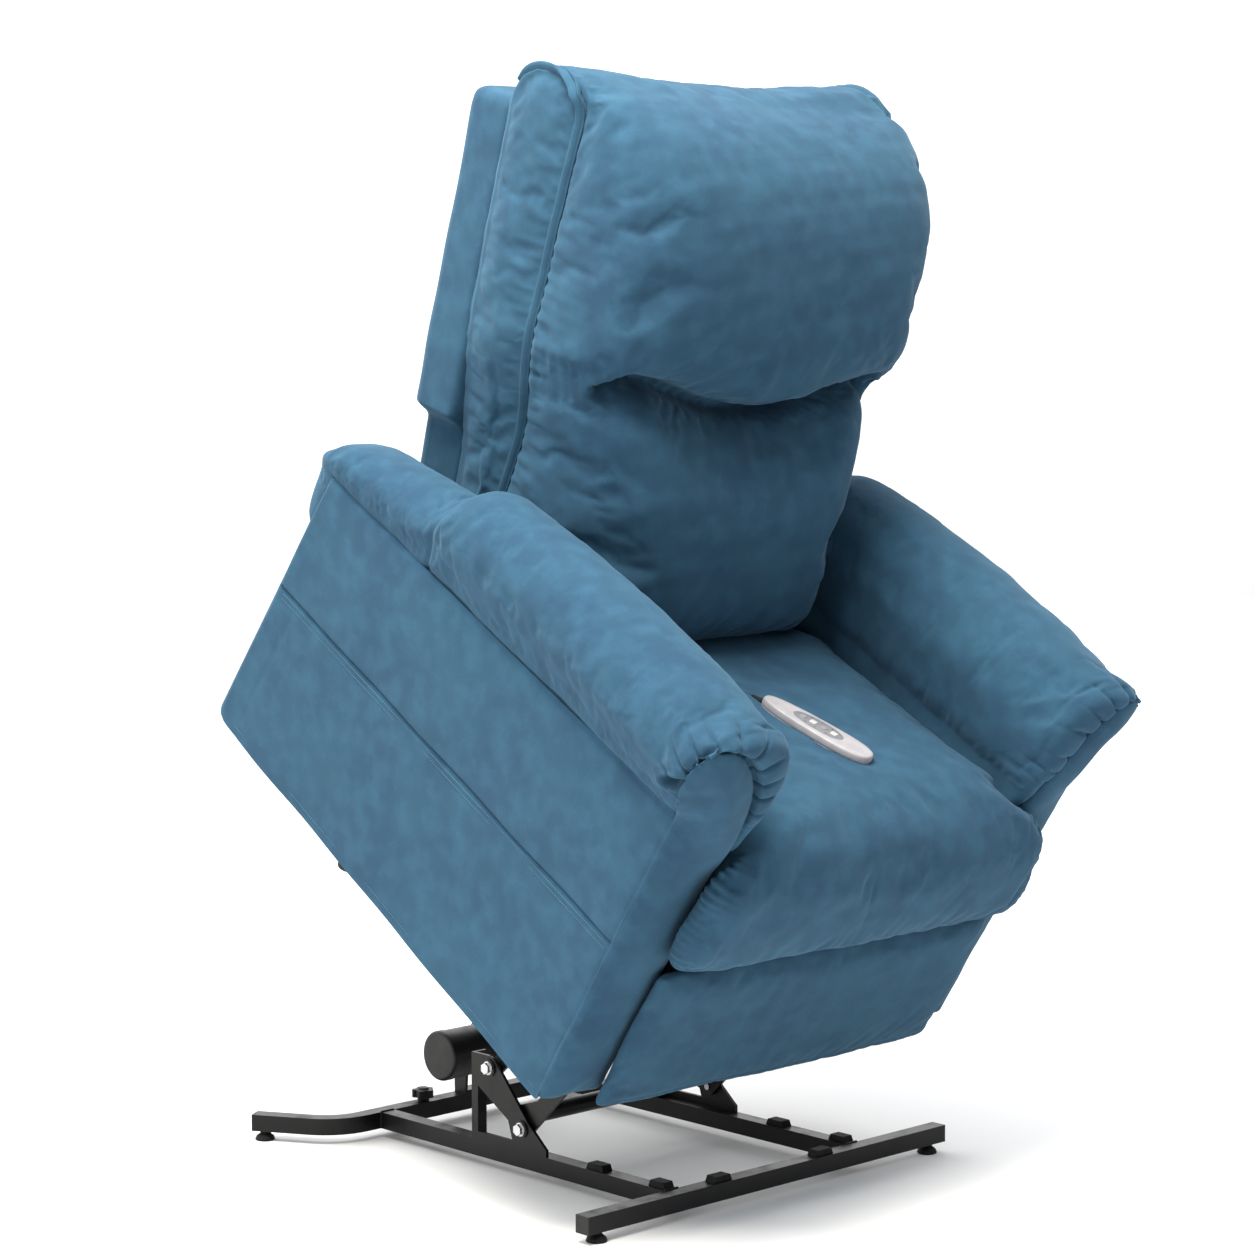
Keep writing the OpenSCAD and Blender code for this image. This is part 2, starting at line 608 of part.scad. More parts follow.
// Outline of a side panel, drawn in by t all round, open or closed at the rear
module side_outline(t) {
    c = [side_rear(corner_r) - corner_r, corner_r];
    polygon(concat([[t, t]], arc(c, corner_r - t, -90, -5, 8),
        [[side_top_y - t, side_h_rear - t], [t, side_h_front - t]]));
}
// Side panel with the fabric carried round the rear of the arm
module arm_outer(s) color("#35647f") at_chair() on_side(s) {
    plate_x(arm_out_x - panel_t, arm_out_x) side_outline(0);
    plate_x(arm_in_x + inner_t, arm_out_x - panel_t + eps) difference() {
        side_outline(0);
        translate([-1, -1]) square([side_top_y - panel_t - 20, 600]);
        side_outline(panel_t);
        translate([0, side_h_rear - 40]) square([900, 100]);
    }
}
module arm_inner_panels() color("#325f79") at_chair() both_sides()
    plate_x(arm_in_x, arm_in_x + inner_t - eps) polygon([[0, 2], [side_rear(0) - corner_r, 2],
        [side_rear(60), 60], [side_top_y, side_h_rear], [0, side_h_front]]);
board = 20;
// Wooden posts and rails inside each arm
module arm_frames() color("#b08a5c") at_chair() both_sides() {
    x0 = arm_in_x + inner_t + 0.5;
    x1 = arm_out_x - panel_t - 0.5;
    rear = side_top_y - 60;
    box([x0, 0, frame_low], [x1, board, side_h_front - board - 4]);
    box([x0, rear - board, frame_low + board], [x1, rear, arm_top(rear) - board - 4]);
    box([x0, board, frame_low], [x1, rear, frame_low + board - eps]);
    plate_x(x0, x1) polygon([[0, arm_top(0) - board], [0, arm_top(0)], [rear, arm_top(rear)],
        [rear, arm_top(rear) - board]]);
}
// Crowned front of an arm: rings drawn in step by step towards its middle
module arm_front(s) color("#35647f") at_chair() on_side(s)
    loft([for (k = [[-soft_gap, 1], [-13, 1], [-21, 0.94], [-26, 0.78], [-28, 0.5]])
        let (c = (arm_in_x + arm_out_x) / 2, h = arm_w / 2 * k[1], m = side_h_front / 2,
            v = (side_h_front - 4) / 2 - (arm_w / 2 - h))
        ring_y([k[0], c - h, c + h, m - v, m + v], 24, 8)]);
// Stations of an arm pad: [y, inner overhang, outer overhang, height over the side seam]
pad_stations = [
    [-66, -22, 12, 112], [-60, -4, 28, 132], [-42, 14, 40, 144], [0, 24, 46, 150], [120, 22, 45, 157],
    [250, 16, 40, 161], [400, 11, 34, 158], [520, 10, 28, 148], [560, 9, 22, 134], [574, 8, 12, 108],
    [590, 7, 8, 97], [676, 5, 6, 80], [786, 3, 4, 53], [840, 1, 1, 36], [858, -1, 0, 28],
    [868, -8, -6, 15]];
module arm_pad(s) color("#35647f") at_chair() on_side(s)
    loft([for (p = pad_stations)
        let (low = arm_top(p[0]) + soft_gap + (p[3] < 125 && p[0] < 0 ? 20 : 0))
        ring_y([p[0], arm_in_x - p[1], arm_out_x + p[2], low, arm_top(p[0]) + p[3]], 28, 2.9)]);
rear_panel_z = [30, 246];
rear_panel_t = 15;
module rear_panel() color("#325f79") at_chair()
    box([-seat_x, side_top_y - 6, rear_panel_z[0]],
        [seat_x, side_top_y - 6 + rear_panel_t, rear_panel_z[1]]);
glide_r = 12.5;
glide_h = 22;           // how far a glide reaches below the side panel
glide_y = 510;
frame_low = 10;         // bottom of the arm frames
module side_glides() color("#101012") at_chair() both_sides()
    translate([arm_out_x - panel_t - glide_r - 2.5, glide_y, -glide_h]) rotate_extrude()
        polygon(concat([[0, 0], [glide_r - 3.5, 0]], arc([glide_r - 3.5, 3.5], 3.5, -90, 0, 5),
            [[glide_r, 14], [glide_r - 4.5, 16], [glide_r - 4.5, glide_h + frame_low - eps],
                [0, glide_h + frame_low - eps]]));

// ==== handset ====
// Ring of the handset's outline, drawn in by t, narrower at the cord end
function handset_ring(t, z) = [for (p = oval(36, handset_w / 2 - t, handset_len / 2 - t, 2.7))
    [p.x * (1 - 0.16 * p.y / (handset_len / 2)), p.y, z]];
split_z = handset_h / 2;
key_pitch = 17.4;
key_first = 26;
key_play = 0.4;
function key_y(i) = key_first - i * key_pitch;
module handset_lower_case() color("#e6e6e8") at_handset()
    loft([handset_ring(5, 0), handset_ring(2, 1.5), handset_ring(0.5, 5), handset_ring(0, split_z - 0.1)]);
module pad_oval(t) intersection() {
    translate([0, key_y(1.5)]) scale(0.5) circle(2 * (key_pitch * 2.35 - t));
    translate([34, key_y(1.5)]) circle(50 - t);
    translate([-34, key_y(1.5)]) circle(50 - t);
}
pad_depth = 0.6;
module handset_upper_case() color("#eeeeef") at_handset() difference() {
    loft([handset_ring(0, split_z + 0.1), handset_ring(0.6, handset_h - 7), handset_ring(2, handset_h - 2.5),
        handset_ring(4.5, handset_h)]);
    translate([0, 0, handset_h - pad_depth]) linear_extrude(2) pad_oval(0);
    for (i = [0:3]) translate([0, key_y(i), handset_h - 6]) cylinder(h = 8, r = key_r + key_play);
}
module handset_keypad() color("#a9adb2") at_handset()
    translate([0, 0, handset_h - pad_depth + 0.05]) linear_extrude(1) difference() {
        pad_oval(0.2);
        for (i = [0:3]) translate([0, key_y(i)]) circle(key_r + key_play);
    }
module key(i) at_handset() translate([0, key_y(i), handset_h - 4]) {
    cylinder(h = 5, r = key_r);
    translate([0, 0, 5 - eps]) cylinder(h = 0.7, r1 = key_r, r2 = key_r - 0.8);
}
module key_raise() color("#f2f2f2") key(1);
module key_lower() color("#f2f2f2") key(3);
module key_recline() color("#b9bdc1") key(0);
module key_upright() color("#b9bdc1") key(2);
relief_len = 18;
module handset_strain_relief() color("#111113") at_handset()
    translate([0, handset_len / 2 + 0.2, split_z]) rotate([-90, 0, 0]) {
        cylinder(h = 4, r = 5);
        translate([0, 0, 4 - eps]) cylinder(h = relief_len - 4, r1 = 4.4, r2 = cord_d / 2 + 0.6);
    }
// Route of the handset cord over the seat and down beside the left arm
cord_points = [[-25, 257, 452.5], [-28, 267, 450], [-30, 282, 445], [-31, 298, 440], [-32, 314, 437],
    [-37, 331, 434.8], [-52, 346, 433], [-78, 356, 431.8], [-112, 361, 431.4], [-150, 364, 431],
    [-188, 366, 429.8], [-222, 368, 427.2], [-248, 370, 424], [-266, 371, 420], [-278, 372, 413],
    [-284, 372, 403], [-285, 372, 390], [-285, 372, 365], [-285, 372, 340], [-285, 372, 318]];
cord_sides = 8;
function unit(v) = v / norm(v);
function cord_dir(i) = unit(cord_points[min(i + 1, len(cord_points) - 1)] - cord_points[max(i - 1, 0)]);
function cord_ring(i) = let (t = cord_dir(i), ref = abs(t.z) > 0.8 ? [0, 1, 0] : [0, 0, 1],
        u = unit(cross(t, ref)), v = cross(u, t))
    [for (j = [0:cord_sides - 1]) let (a = 360 * j / cord_sides)
        cord_points[i] + cord_d / 2 * (cos(a) * u + sin(a) * v)];
module handset_cord() color("#141415") at_chair() loft([for (i = [0:len(cord_points) - 1]) cord_ring(i)]);

// ==== back: x across, y rearward of the hinge line, z up along the back ====
post_x = back_low_half_w - 6.4;
rail_d = 25;
module back_frame() color("#b08a5c") at_back() {
    both_sides() box([post_x - 30, back_d0 + 0.5, 90], [post_x, back_d0 + 60, cover_top - 16]);
    for (z = [100, 300, cover_top - 56])
        box([-post_x + 30, back_d0 + 0.5, z], [post_x - 30, back_d0 + rail_d, z + 40]);
}
// Outline of the outer back, drawn in by t: narrow between the arms and wider above them
module back_outline(t, low) {
    w = back_half_w - 8 - t;
    n = back_low_half_w - t;
    polygon(concat([[-n, low], [n, low], [n, wide_from], [w, wide_from + 34]],
        arc([w - 26, cover_top - t - 26], 26, 0, 90, 6), arc([-w + 26, cover_top - t - 26], 26, 90, 180, 6),
        [[-w, wide_from + 34], [-n, wide_from]]));
}
module along_d(d0, d1) translate([0, d1, 0]) rotate([90, 0, 0]) linear_extrude(d1 - d0) children();
module back_cover() color("#325f79") at_back() difference() {
    along_d(back_d0 + 0.5, back_d1) back_outline(0, cover_low);
    along_d(back_d0, back_d1 - 10) back_outline(6, cover_low - 5);
}
// Stations of the back cushion: [share of the height, wide = 1 or narrow = 0, crown, rear face]
back_stations = [
    [0.100, 0, 0.74, 24], [0.108, 0, 0.86, 34], [0.130, 0, 0.95, 39], [0.200, 0, 1.01, 40],
    [0.290, 0, 1.00, 40], [0.370, 0, 0.96, 40], [0.420, 0.2, 0.90, 40], [0.462, 0.7, 0.84, 40],
    [0.500, 0.9, 0.78, 40], [0.524, 0.92, 0.73, 40], [0.538, 0.93, 0.78, 40], [0.560, 0.96, 0.90, 40],
    [0.600, 1, 1.00, 40], [0.660, 1, 1.06, 40], [0.730, 1, 1.04, 40], [0.800, 1, 0.95, 40],
    [0.860, 1, 0.82, 40], [0.910, 0.98, 0.66, 38], [0.950, 0.94, 0.50, 28], [0.980, 0.88, 0.32, 8],
    [0.994, 0.78, 0.16, -14]];
seam_d = -92;           // seam between the boxing and the crowned front
function back_ring(s) = let (w = back_low_half_w - 2 + s[1] * (back_half_w - back_low_half_w + 2),
        front = seam_d - back_crown * s[2], b = (s[3] - front) / 2)
    [for (p = oval(40, w, b, 4.4)) [p.x, p.y + (s[3] + front) / 2, s[0] * back_h]];
module back_cushion() color("#35647f") at_back() loft([for (s = back_stations) back_ring(s)]);
back_plate_x0 = mech_x1 + 2;
back_plate_x1 = back_plate_x0 + mech_t;
bracket_d0 = back_d0 + rail_d + eps;
bracket_d1 = bracket_d0 + 30;
bracket_top = 350;
bracket_hole_r = 7;
// Side plates that hang the back on its hinge
module back_brackets() color("#2a2b2e") at_back() both_sides()
    plate_x(back_plate_x0, back_plate_x1) difference() {
        union() {
            circle(18);
            polygon([[-12, 13], [13, -12], [66, 38], [bracket_d1, 95], [bracket_d1, bracket_top],
                [bracket_d0, bracket_top], [bracket_d0, 84], [52, 76]]);
        }
        circle(pivot_r + 1 + fit);
        for (z = [bracket_top - 200:70:bracket_top - 60])
            translate([(bracket_d0 + bracket_d1) / 2, z]) circle(bracket_hole_r);
    }

// ==== footrest ====
module footrest_lower_links() color("#85888c") at_chair() both_sides() {
    x1 = lower_foot_x1;
    plate_x(x1 - foot_t, x1) difference() {
        link_2d(foot_g1, foot_h1, foot_r);
        translate(foot_g1) circle(foot_pin_r + fit);
        translate(foot_h1) circle(foot_pin_r);
    }
    bar_x(foot_h1, upper_foot_x1 - foot_t - 0.5, x1 + 0.5, foot_pin_r);
}
module footrest_upper_links() color("#85888c") at_chair() both_sides() {
    x1 = upper_foot_x1;
    plate_x(x1 - foot_t, x1) difference() {
        link_2d(foot_h1, foot_k, foot_r);
        for (p = [foot_h1, foot_k]) translate(p) circle(foot_pin_r + fit);
    }
}
module footrest_rear_links() color("#85888c") at_chair() both_sides() {
    x1 = rear_foot_x1;
    plate_x(x1 - foot_t, x1) difference() {
        link_2d(foot_g2, foot_h2, foot_r - 1);
        translate(foot_g2) circle(foot_pin_r + fit);
        translate(foot_h2) circle(foot_pin_r);
    }
    bar_x(foot_h2, x1 - foot_t, x1 + 1.5, foot_pin_r);
}
foot_low = 3;
foot_board_t = 12;
foot_board_x = arm_in_x - 5;
// Board behind the footrest pad, with the two brackets that the upper links carry
module footrest_board() color("#b08a5c") at_chair() {
    box([-foot_board_x, -foot_board_t, foot_low + 6], [foot_board_x, 0, foot_low + foot_pad_h - 6]);
    both_sides() {
        x1 = rear_foot_x1;
        plate_x(x1 - foot_t, x1) polygon([[-eps, foot_k.y - 26], [foot_k.x, foot_k.y - 12],
            [foot_k.x + 10, foot_k.y - 4], [foot_k.x + 10, foot_k.y + 6], [foot_k.x, foot_k.y + 12],
            [-eps, foot_k.y + 24]]);
        bar_x(foot_k, x1 - eps, upper_foot_x1 + 0.5, foot_pin_r);
    }
}
module footrest_pad() color("#35647f") at_chair() {
    w = foot_pad_w / 2;
    z0 = foot_low;
    z1 = foot_low + foot_pad_h;
    loft([for (s = [[-52, w - 34, 30], [-50, w - 14, 12], [-45, w - 4, 3], [-38, w, 0], [-31, w, 0],
            [-29.6, foot_board_x, 1], [-foot_board_t - soft_gap, foot_board_x, 2]])
        ring_y([s[0], -s[1], s[1], z0 + s[2], z1 - s[2]], 32, 9)]);
}

base_front_bar();
base_rear_bar();
base_rail(LEFT);  // base_rail_left
base_rail(RIGHT);  // base_rail_right
base_end_plugs();
base_feet();
rail_pads();
upright(LEFT);  // upright_left
upright(RIGHT);  // upright_right
base_pivot_bolts();
base_pivot_bushes();
actuator_bracket();
star_knob();
lower_link(LEFT);  // lower_link_left
lower_link(RIGHT);  // lower_link_right
torque_tube();
upper_link(LEFT);  // upper_link_left
upper_link(RIGHT);  // upper_link_right
actuator_gearbox();
motor_housing();
motor_cap();
actuator_tube();
actuator_screw();
actuator_rod();
mech_plates();
mech_pivot_bolts();
drive_tube();
cross_members();
seat_frame();
seat_springs();
seat_cushion();
control_box();
arm_frames();
arm_outer(LEFT);  // arm_outer_left
arm_outer(RIGHT);  // arm_outer_right
arm_inner_panels();
arm_front(LEFT);  // arm_front_left
arm_front(RIGHT);  // arm_front_right
arm_pad(LEFT);  // arm_pad_left
arm_pad(RIGHT);  // arm_pad_right
rear_panel();
side_glides();
handset_lower_case();
handset_upper_case();
handset_keypad();
handset_strain_relief();
handset_cord();
key_raise();
key_lower();
key_recline();
key_upright();
back_frame();
back_cover();
back_cushion();
back_brackets();
footrest_lower_links();
footrest_upper_links();
footrest_rear_links();
footrest_board();
footrest_pad();
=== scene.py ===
import math

import bpy
import numpy as np
from mathutils import Matrix, Vector
from mathutils.bvhtree import BVHTree


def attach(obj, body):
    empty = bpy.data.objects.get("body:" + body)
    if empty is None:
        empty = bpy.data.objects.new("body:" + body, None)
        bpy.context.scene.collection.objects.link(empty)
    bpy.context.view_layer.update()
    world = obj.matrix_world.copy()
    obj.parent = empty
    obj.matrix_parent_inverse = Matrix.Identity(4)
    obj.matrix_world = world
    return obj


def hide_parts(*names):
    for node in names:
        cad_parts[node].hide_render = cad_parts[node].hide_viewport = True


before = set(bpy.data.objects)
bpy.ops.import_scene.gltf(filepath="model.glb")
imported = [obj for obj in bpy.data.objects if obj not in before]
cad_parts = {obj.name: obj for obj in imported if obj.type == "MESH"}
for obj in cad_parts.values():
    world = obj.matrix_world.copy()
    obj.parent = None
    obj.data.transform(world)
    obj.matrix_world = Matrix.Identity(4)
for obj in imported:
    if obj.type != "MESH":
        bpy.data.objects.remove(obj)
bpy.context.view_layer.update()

bl_info = {
    "name": "Lift recliner chair",
    "version": (1, 0, 0),
    "blender": (4, 5, 0),
    "location": "View3D > Sidebar > Lift chair",
    "description": "Upholstery, finishes and studio stage for a lift recliner chair",
    "category": "Object",
}

# ---- places: the chair stands raised and tilted forward, the back leans behind its hinge line ----
CHAIR_TILT = math.radians(33)
CHAIR_ORIGIN = Vector((0, -0.166, 0.200))
HINGE = Vector((0, 0.620, 0.270))
BACK_LEAN = math.radians(16)
SEAT_FALL = math.radians(6.6)
HANDSET_HEADING = math.radians(17)
HANDSET_MIDDLE = (0.007, 0.152)
CHAIR = Matrix.Translation(CHAIR_ORIGIN) @ Matrix.Rotation(CHAIR_TILT, 4, "X")
BACK = CHAIR @ Matrix.Translation(HINGE) @ Matrix.Rotation(-BACK_LEAN, 4, "X")
BASE = Matrix.Translation((0, -0.226, 0))

# ---- upholstery sizes in metres, in the chair's own directions ----
ARM_OUT = 0.410         # flat sides of an arm
ARM_IN = 0.288
SIDE_TOP_Y = 0.818      # depth of a side at its top
SIDE_DEPTH = 0.855      # and at its foot
SIDE_FRONT_H = 0.495
SIDE_REAR_H = 0.458
SEAT_FRONT_TOP = 0.467
MID_SEAM_Z = 0.276      # seam half way up a side, at its front
CAP_SEAM_Y = 0.572      # seam between an arm's roll and its rear cap
SIDES = {"left": -1, "right": 1}


def seat_top(y):
    return SEAT_FRONT_TOP - math.tan(SEAT_FALL) * (y - 0.030)


def arm_top(y):
    return SIDE_FRONT_H + (SIDE_REAR_H - SIDE_FRONT_H) * y / SIDE_TOP_Y


HANDSET = (CHAIR @ Matrix.Translation((*HANDSET_MIDDLE, seat_top(HANDSET_MIDDLE[1]) + 0.0004))
           @ Matrix.Rotation(-SEAT_FALL, 4, "X") @ Matrix.Rotation(HANDSET_HEADING, 4, "Z"))


def linear(hex_colour):
    """Linear colour of an sRGB hex value."""
    channels = [int(hex_colour[i:i + 2], 16) / 255 for i in (0, 2, 4)]
    return [c / 12.92 if c <= 0.04045 else ((c + 0.055) / 1.055) ** 2.4 for c in channels]


# ---- settings that a user may change ----
class LiftChairSizes(bpy.types.PropertyGroup):
    voxel: bpy.props.FloatProperty(name="Cloth grid", description="Grid of the simulated upholstery",
                                   default=0.0065, min=0.004, max=0.01, unit="LENGTH")
    fine_voxel: bpy.props.FloatProperty(name="Fine cloth grid", description="Grid of the pleated upholstery",
                                        default=0.0046, min=0.003, max=0.008, unit="LENGTH")
    welt: bpy.props.FloatProperty(name="Welt radius", description="Radius of the piping round the back",
                                  default=0.0026, min=0.001, max=0.005, unit="LENGTH")
    stitch: bpy.props.FloatProperty(name="Stitch length", description="Length of one topstitch",
                                    default=0.0042, min=0.002, max=0.008, unit="LENGTH")
    thread: bpy.props.FloatProperty(name="Thread radius", description="Radius of the topstitching thread",
                                    default=0.0004, min=0.0002, max=0.001, unit="LENGTH")
    pleat: bpy.props.FloatProperty(name="Pleat depth", default=0.0045, min=0, max=0.01, unit="LENGTH",
                                   description="Depth of the pleats round the arm fronts")
    weld: bpy.props.FloatProperty(name="Weld bead", description="Radius of the weld beads on the base",
                                  default=0.0022, min=0.001, max=0.004, unit="LENGTH")


def colour_setting(name, description, hex_colour):
    return bpy.props.FloatVectorProperty(name=name, description=description, subtype="COLOR", size=3,
                                         min=0, max=1, default=linear(hex_colour))


class LiftChairColours(bpy.types.PropertyGroup):
    suede: colour_setting("Suede", "Middle colour of the micro-suede", "2a4b60")
    suede_light: colour_setting("Brushed suede", "Suede where the nap lies towards the light", "32576f")
    suede_dark: colour_setting("Suede shade", "Suede where the nap lies away from the light", "26435a")
    powder: colour_setting("Powder coat", "Base frame and mechanism", "09090b")
    casing: colour_setting("Handset casing", "Moulded handset shells", "98969b")
    keypad: colour_setting("Keypad", "Film round the handset keys", "6c6f74")


# ---- small tools ----
def placed(points, matrix):
    m = np.array(matrix)
    return np.asarray(points, float) @ m[:3, :3].T + m[:3, 3]


def smooth_line(points, count, closed=False):
    """Catmull-Rom curve through points, as count points at even spacing."""
    p = np.asarray(points, float)
    n = len(p)
    if closed:
        knots = p[np.arange(-1, n + 2) % n]
    else:
        knots = np.vstack([2 * p[0] - p[1], p, 2 * p[-1] - p[-2]])
    t = np.linspace(0, 1, 24, endpoint=False)[:, None]
    parts = []
    for a, b, c, d in zip(knots[:-3], knots[1:-2], knots[2:-1], knots[3:]):
        parts.append(0.5 * (2 * b + (c - a) * t + (2 * a - 5 * b + 4 * c - d) * t ** 2
                            + (3 * b - a - 3 * c + d) * t ** 3))
    line = np.vstack(parts + [p[:1] if closed else p[-1:]])
    run = np.concatenate([[0], np.cumsum(np.linalg.norm(np.diff(line, axis=0), axis=1))])
    at = np.linspace(0, run[-1], count, endpoint=not closed)
    return np.column_stack([np.interp(at, run, line[:, k]) for k in range(p.shape[1])])


def grid_faces(m, n, wrap=False):
    """Quads between m rows of n points each."""
    i, j = np.meshgrid(np.arange(m - 1), np.arange(n if wrap else n - 1), indexing="ij")
    k = (j + 1) % n
    return np.stack([i * n + j, i * n + k, (i + 1) * n + k, (i + 1) * n + j], -1).reshape(-1, 4)


def loft(rings):
    """Closed form through rings of equally many points."""
    rings = np.asarray(rings, float)
    m, n = rings.shape[:2]
    points = np.vstack([rings.reshape(-1, 3), rings[0].mean(0), rings[-1].mean(0)])
    j = np.arange(n)
    k = (j + 1) % n
    last = (m - 1) * n
    caps = [np.column_stack([np.full(n, m * n), k, j, j]),
            np.column_stack([np.full(n, m * n + 1), last + j, last + k, last + k])]
    return points, np.vstack([grid_faces(m, n, wrap=True), *caps])


def at_depth(flat, y):
    """Flat (x, z) points as a ring at depth y, one number or one for each point."""
    return np.column_stack([flat[:, 0], np.full(len(flat), y), flat[:, 1]])


def at_height(flat, z):
    """Flat (x, y) points as a ring at height z."""
    return np.column_stack([flat, np.full(len(flat), z)])


def new_object(name, points, faces):
    """Mesh object; a triangle's last corner is given twice."""
    faces = np.asarray(faces)
    kept = np.ones(faces.shape, bool)
    kept[:, 3] = faces[:, 3] != faces[:, 2]
    corners = faces[kept]
    mesh = bpy.data.meshes.new(name)
    mesh.vertices.add(len(points))
    mesh.vertices.foreach_set("co", np.asarray(points, np.float32).ravel())
    mesh.loops.add(len(corners))
    mesh.loops.foreach_set("vertex_index", corners.astype(np.int32))
    mesh.polygons.add(len(faces))
    starts = np.concatenate([[0], np.cumsum(kept.sum(1))[:-1]])
    mesh.polygons.foreach_set("loop_start", starts.astype(np.int32))
    mesh.update(calc_edges=True)
    obj = bpy.data.objects.new(name, mesh)
    bpy.context.scene.collection.objects.link(obj)
    return obj


def arrays(mesh):
    points = np.empty(len(mesh.vertices) * 3)
    mesh.vertices.foreach_get("co", points)
    corners = np.empty(len(mesh.loops), np.int32)
    mesh.loops.foreach_get("vertex_index", corners)
    starts = np.empty(len(mesh.polygons), np.int32)
    mesh.polygons.foreach_get("loop_start", starts)
    sizes = np.diff(np.append(starts, len(corners)))
    return points.reshape(-1, 3), corners[starts[:, None] + np.minimum(np.arange(4), sizes[:, None] - 1)]


def evaluated(obj):
    """Points and faces of an object with its modifiers, which is then removed."""
    mesh = bpy.data.meshes.new_from_object(obj.evaluated_get(bpy.context.evaluated_depsgraph_get()))
    points, faces = arrays(mesh)
    bpy.data.objects.remove(obj)
    bpy.data.meshes.remove(mesh)
    return points, faces


def add_modifier(obj, kind, **settings):
    modifier = obj.modifiers.new(kind.title(), kind)
    for key, value in settings.items():
        setattr(modifier, key, value)
    return modifier


def remeshed(points, faces, voxel, smooth=6):
    obj = new_object("form", points, faces)
    add_modifier(obj, "REMESH", mode="VOXEL", voxel_size=voxel)
    add_modifier(obj, "SMOOTH", factor=0.5, iterations=smooth)
    return evaluated(obj)


def subdivided(points, faces):
    obj = new_object("form", points, faces)
    add_modifier(obj, "SUBSURF", levels=1, render_levels=1)
    return evaluated(obj)


def puffed(points, faces, pinned, pressure=4.0, surplus=0.03, cap=0.012, frames=20):
    """The form blown up as cloth that is held where pinned is 1, with some cloth to spare."""
    scene = bpy.context.scene
    obj = new_object("form", points, faces)
    group = obj.vertex_groups.new(name="pinned")
    for level in (0.25, 0.5, 0.75, 1.0):
        chosen = np.nonzero(np.round(pinned * 4) / 4 == level)[0].tolist()
        if chosen:
            group.add(chosen, level, "REPLACE")
    cloth = obj.modifiers.new("Cloth", "CLOTH")
    cloth.settings.quality = 4
    cloth.settings.mass = 0.25
    cloth.settings.tension_stiffness = 14
    cloth.settings.compression_stiffness = 14
    cloth.settings.shear_stiffness = 6
    cloth.settings.bending_stiffness = 0.4
    cloth.settings.use_pressure = True
    cloth.settings.uniform_pressure_force = pressure
    cloth.settings.effector_weights.gravity = 0
    cloth.settings.vertex_group_mass = "pinned"
    cloth.settings.shrink_min = -surplus
    cloth.point_cache.frame_start = 1
    cloth.point_cache.frame_end = frames
    for step in range(1, frames + 1):
        scene.frame_set(step)
    moved, _ = evaluated(obj)
    scene.frame_set(1)
    shift = moved - points
    size = np.linalg.norm(shift, axis=1, keepdims=True)
    return points + shift * cap * np.tanh(size / cap) / np.maximum(size, 1e-9)


def normals(points, faces):
    across = np.cross(points[faces[:, 2]] - points[faces[:, 0]], points[faces[:, 3]] - points[faces[:, 1]])
    corners = faces.ravel()
    out = np.column_stack([np.bincount(corners, np.repeat(across[:, k], 4), len(points)) for k in range(3)])
    return out / np.maximum(np.linalg.norm(out, axis=1, keepdims=True), 1e-12)


def near_line(points, line, reach=0.06):
    """Distance of each point from a line, at most reach, and how far along the line its nearest place is."""
    best = np.full(len(points), reach)
    along = np.zeros(len(points))
    run = 0.0
    for start in range(0, len(line) - 1, 6):
        part = line[start:start + 7]
        inside = (points > part.min(0) - reach) & (points < part.max(0) + reach)
        close = np.nonzero(np.all(inside, axis=1))[0]
        near = points[close]
        for a, b in zip(part[:-1], part[1:]):
            step = b - a
            size = np.linalg.norm(step)
            t = np.clip((near - a) @ step / max(size * size, 1e-18), 0, 1)
            gap = np.linalg.norm(near - a - t[:, None] * step, axis=1)
            closer = gap < best[close]
            best[close[closer]] = gap[closer]
            along[close[closer]] = run + t[closer] * size
            run += size
    return best, along


def laid_on(line, points, faces):
    """The line laid on a form, and the form's normals there."""
    tree = BVHTree.FromPolygons(points.tolist(), faces.tolist())
    found = [tree.find_nearest(Vector(p)) for p in line]
    return np.array([f[0] for f in found]), np.array([f[1] for f in found])


def eased(line, rounds=3):
    """The line with its small kinks smoothed out."""
    line = np.array(line, float)
    for _ in range(rounds):
        line[1:-1] = (line[:-2] + 2 * line[1:-1] + line[2:]) / 4
    return line


def smoothstep(value, low, high):
    t = np.clip((np.asarray(value, float) - low) / (high - low), 0, 1)
    return t * t * (3 - 2 * t)


def groove(points, line, width, depth):
    """Inward depth of a sewn groove along a line."""
    gap, _ = near_line(points, line)
    return -depth * np.exp(-(gap / width) ** 2)


def wobble(values, pitch, seed):
    """Smooth random numbers from -1 to 1 along one direction."""
    table = np.random.default_rng(seed).uniform(-1, 1, 4096)
    at = np.asarray(values) / pitch + 2048
    low = np.floor(at).astype(int)
    t = at - low
    t = t * t * (3 - 2 * t)
    return table[low % 4096] * (1 - t) + table[(low + 1) % 4096] * t


def clouds(points, size, seed):
    """Smooth random field over space, about -1 to 1, with swells of the given size."""
    rng = np.random.default_rng(seed)
    total = np.zeros(len(points))
    for _ in range(9):
        way = rng.normal(size=3)
        way *= 2 * math.pi / (size * rng.uniform(1.5, 3.5) * np.linalg.norm(way))
        total += np.sin(points @ way + rng.uniform(0, 2 * math.pi))
    return total / 4


def gathers(points, line, pitch, reach, depth, seed):
    """Fine puckers square to a seam that die out over reach."""
    gap, along = near_line(points, line, reach * 2.6)
    phase = along / pitch + 0.6 * wobble(along, pitch * 2.7, seed)
    strength = 0.55 + 0.45 * wobble(along, pitch * 4.1, seed + 1)
    reach = reach * (0.8 + 0.35 * wobble(along, pitch * 1.9, seed + 2))
    return depth * strength * np.sin(2 * math.pi * phase) * np.exp(-(gap / reach) ** 1.5)


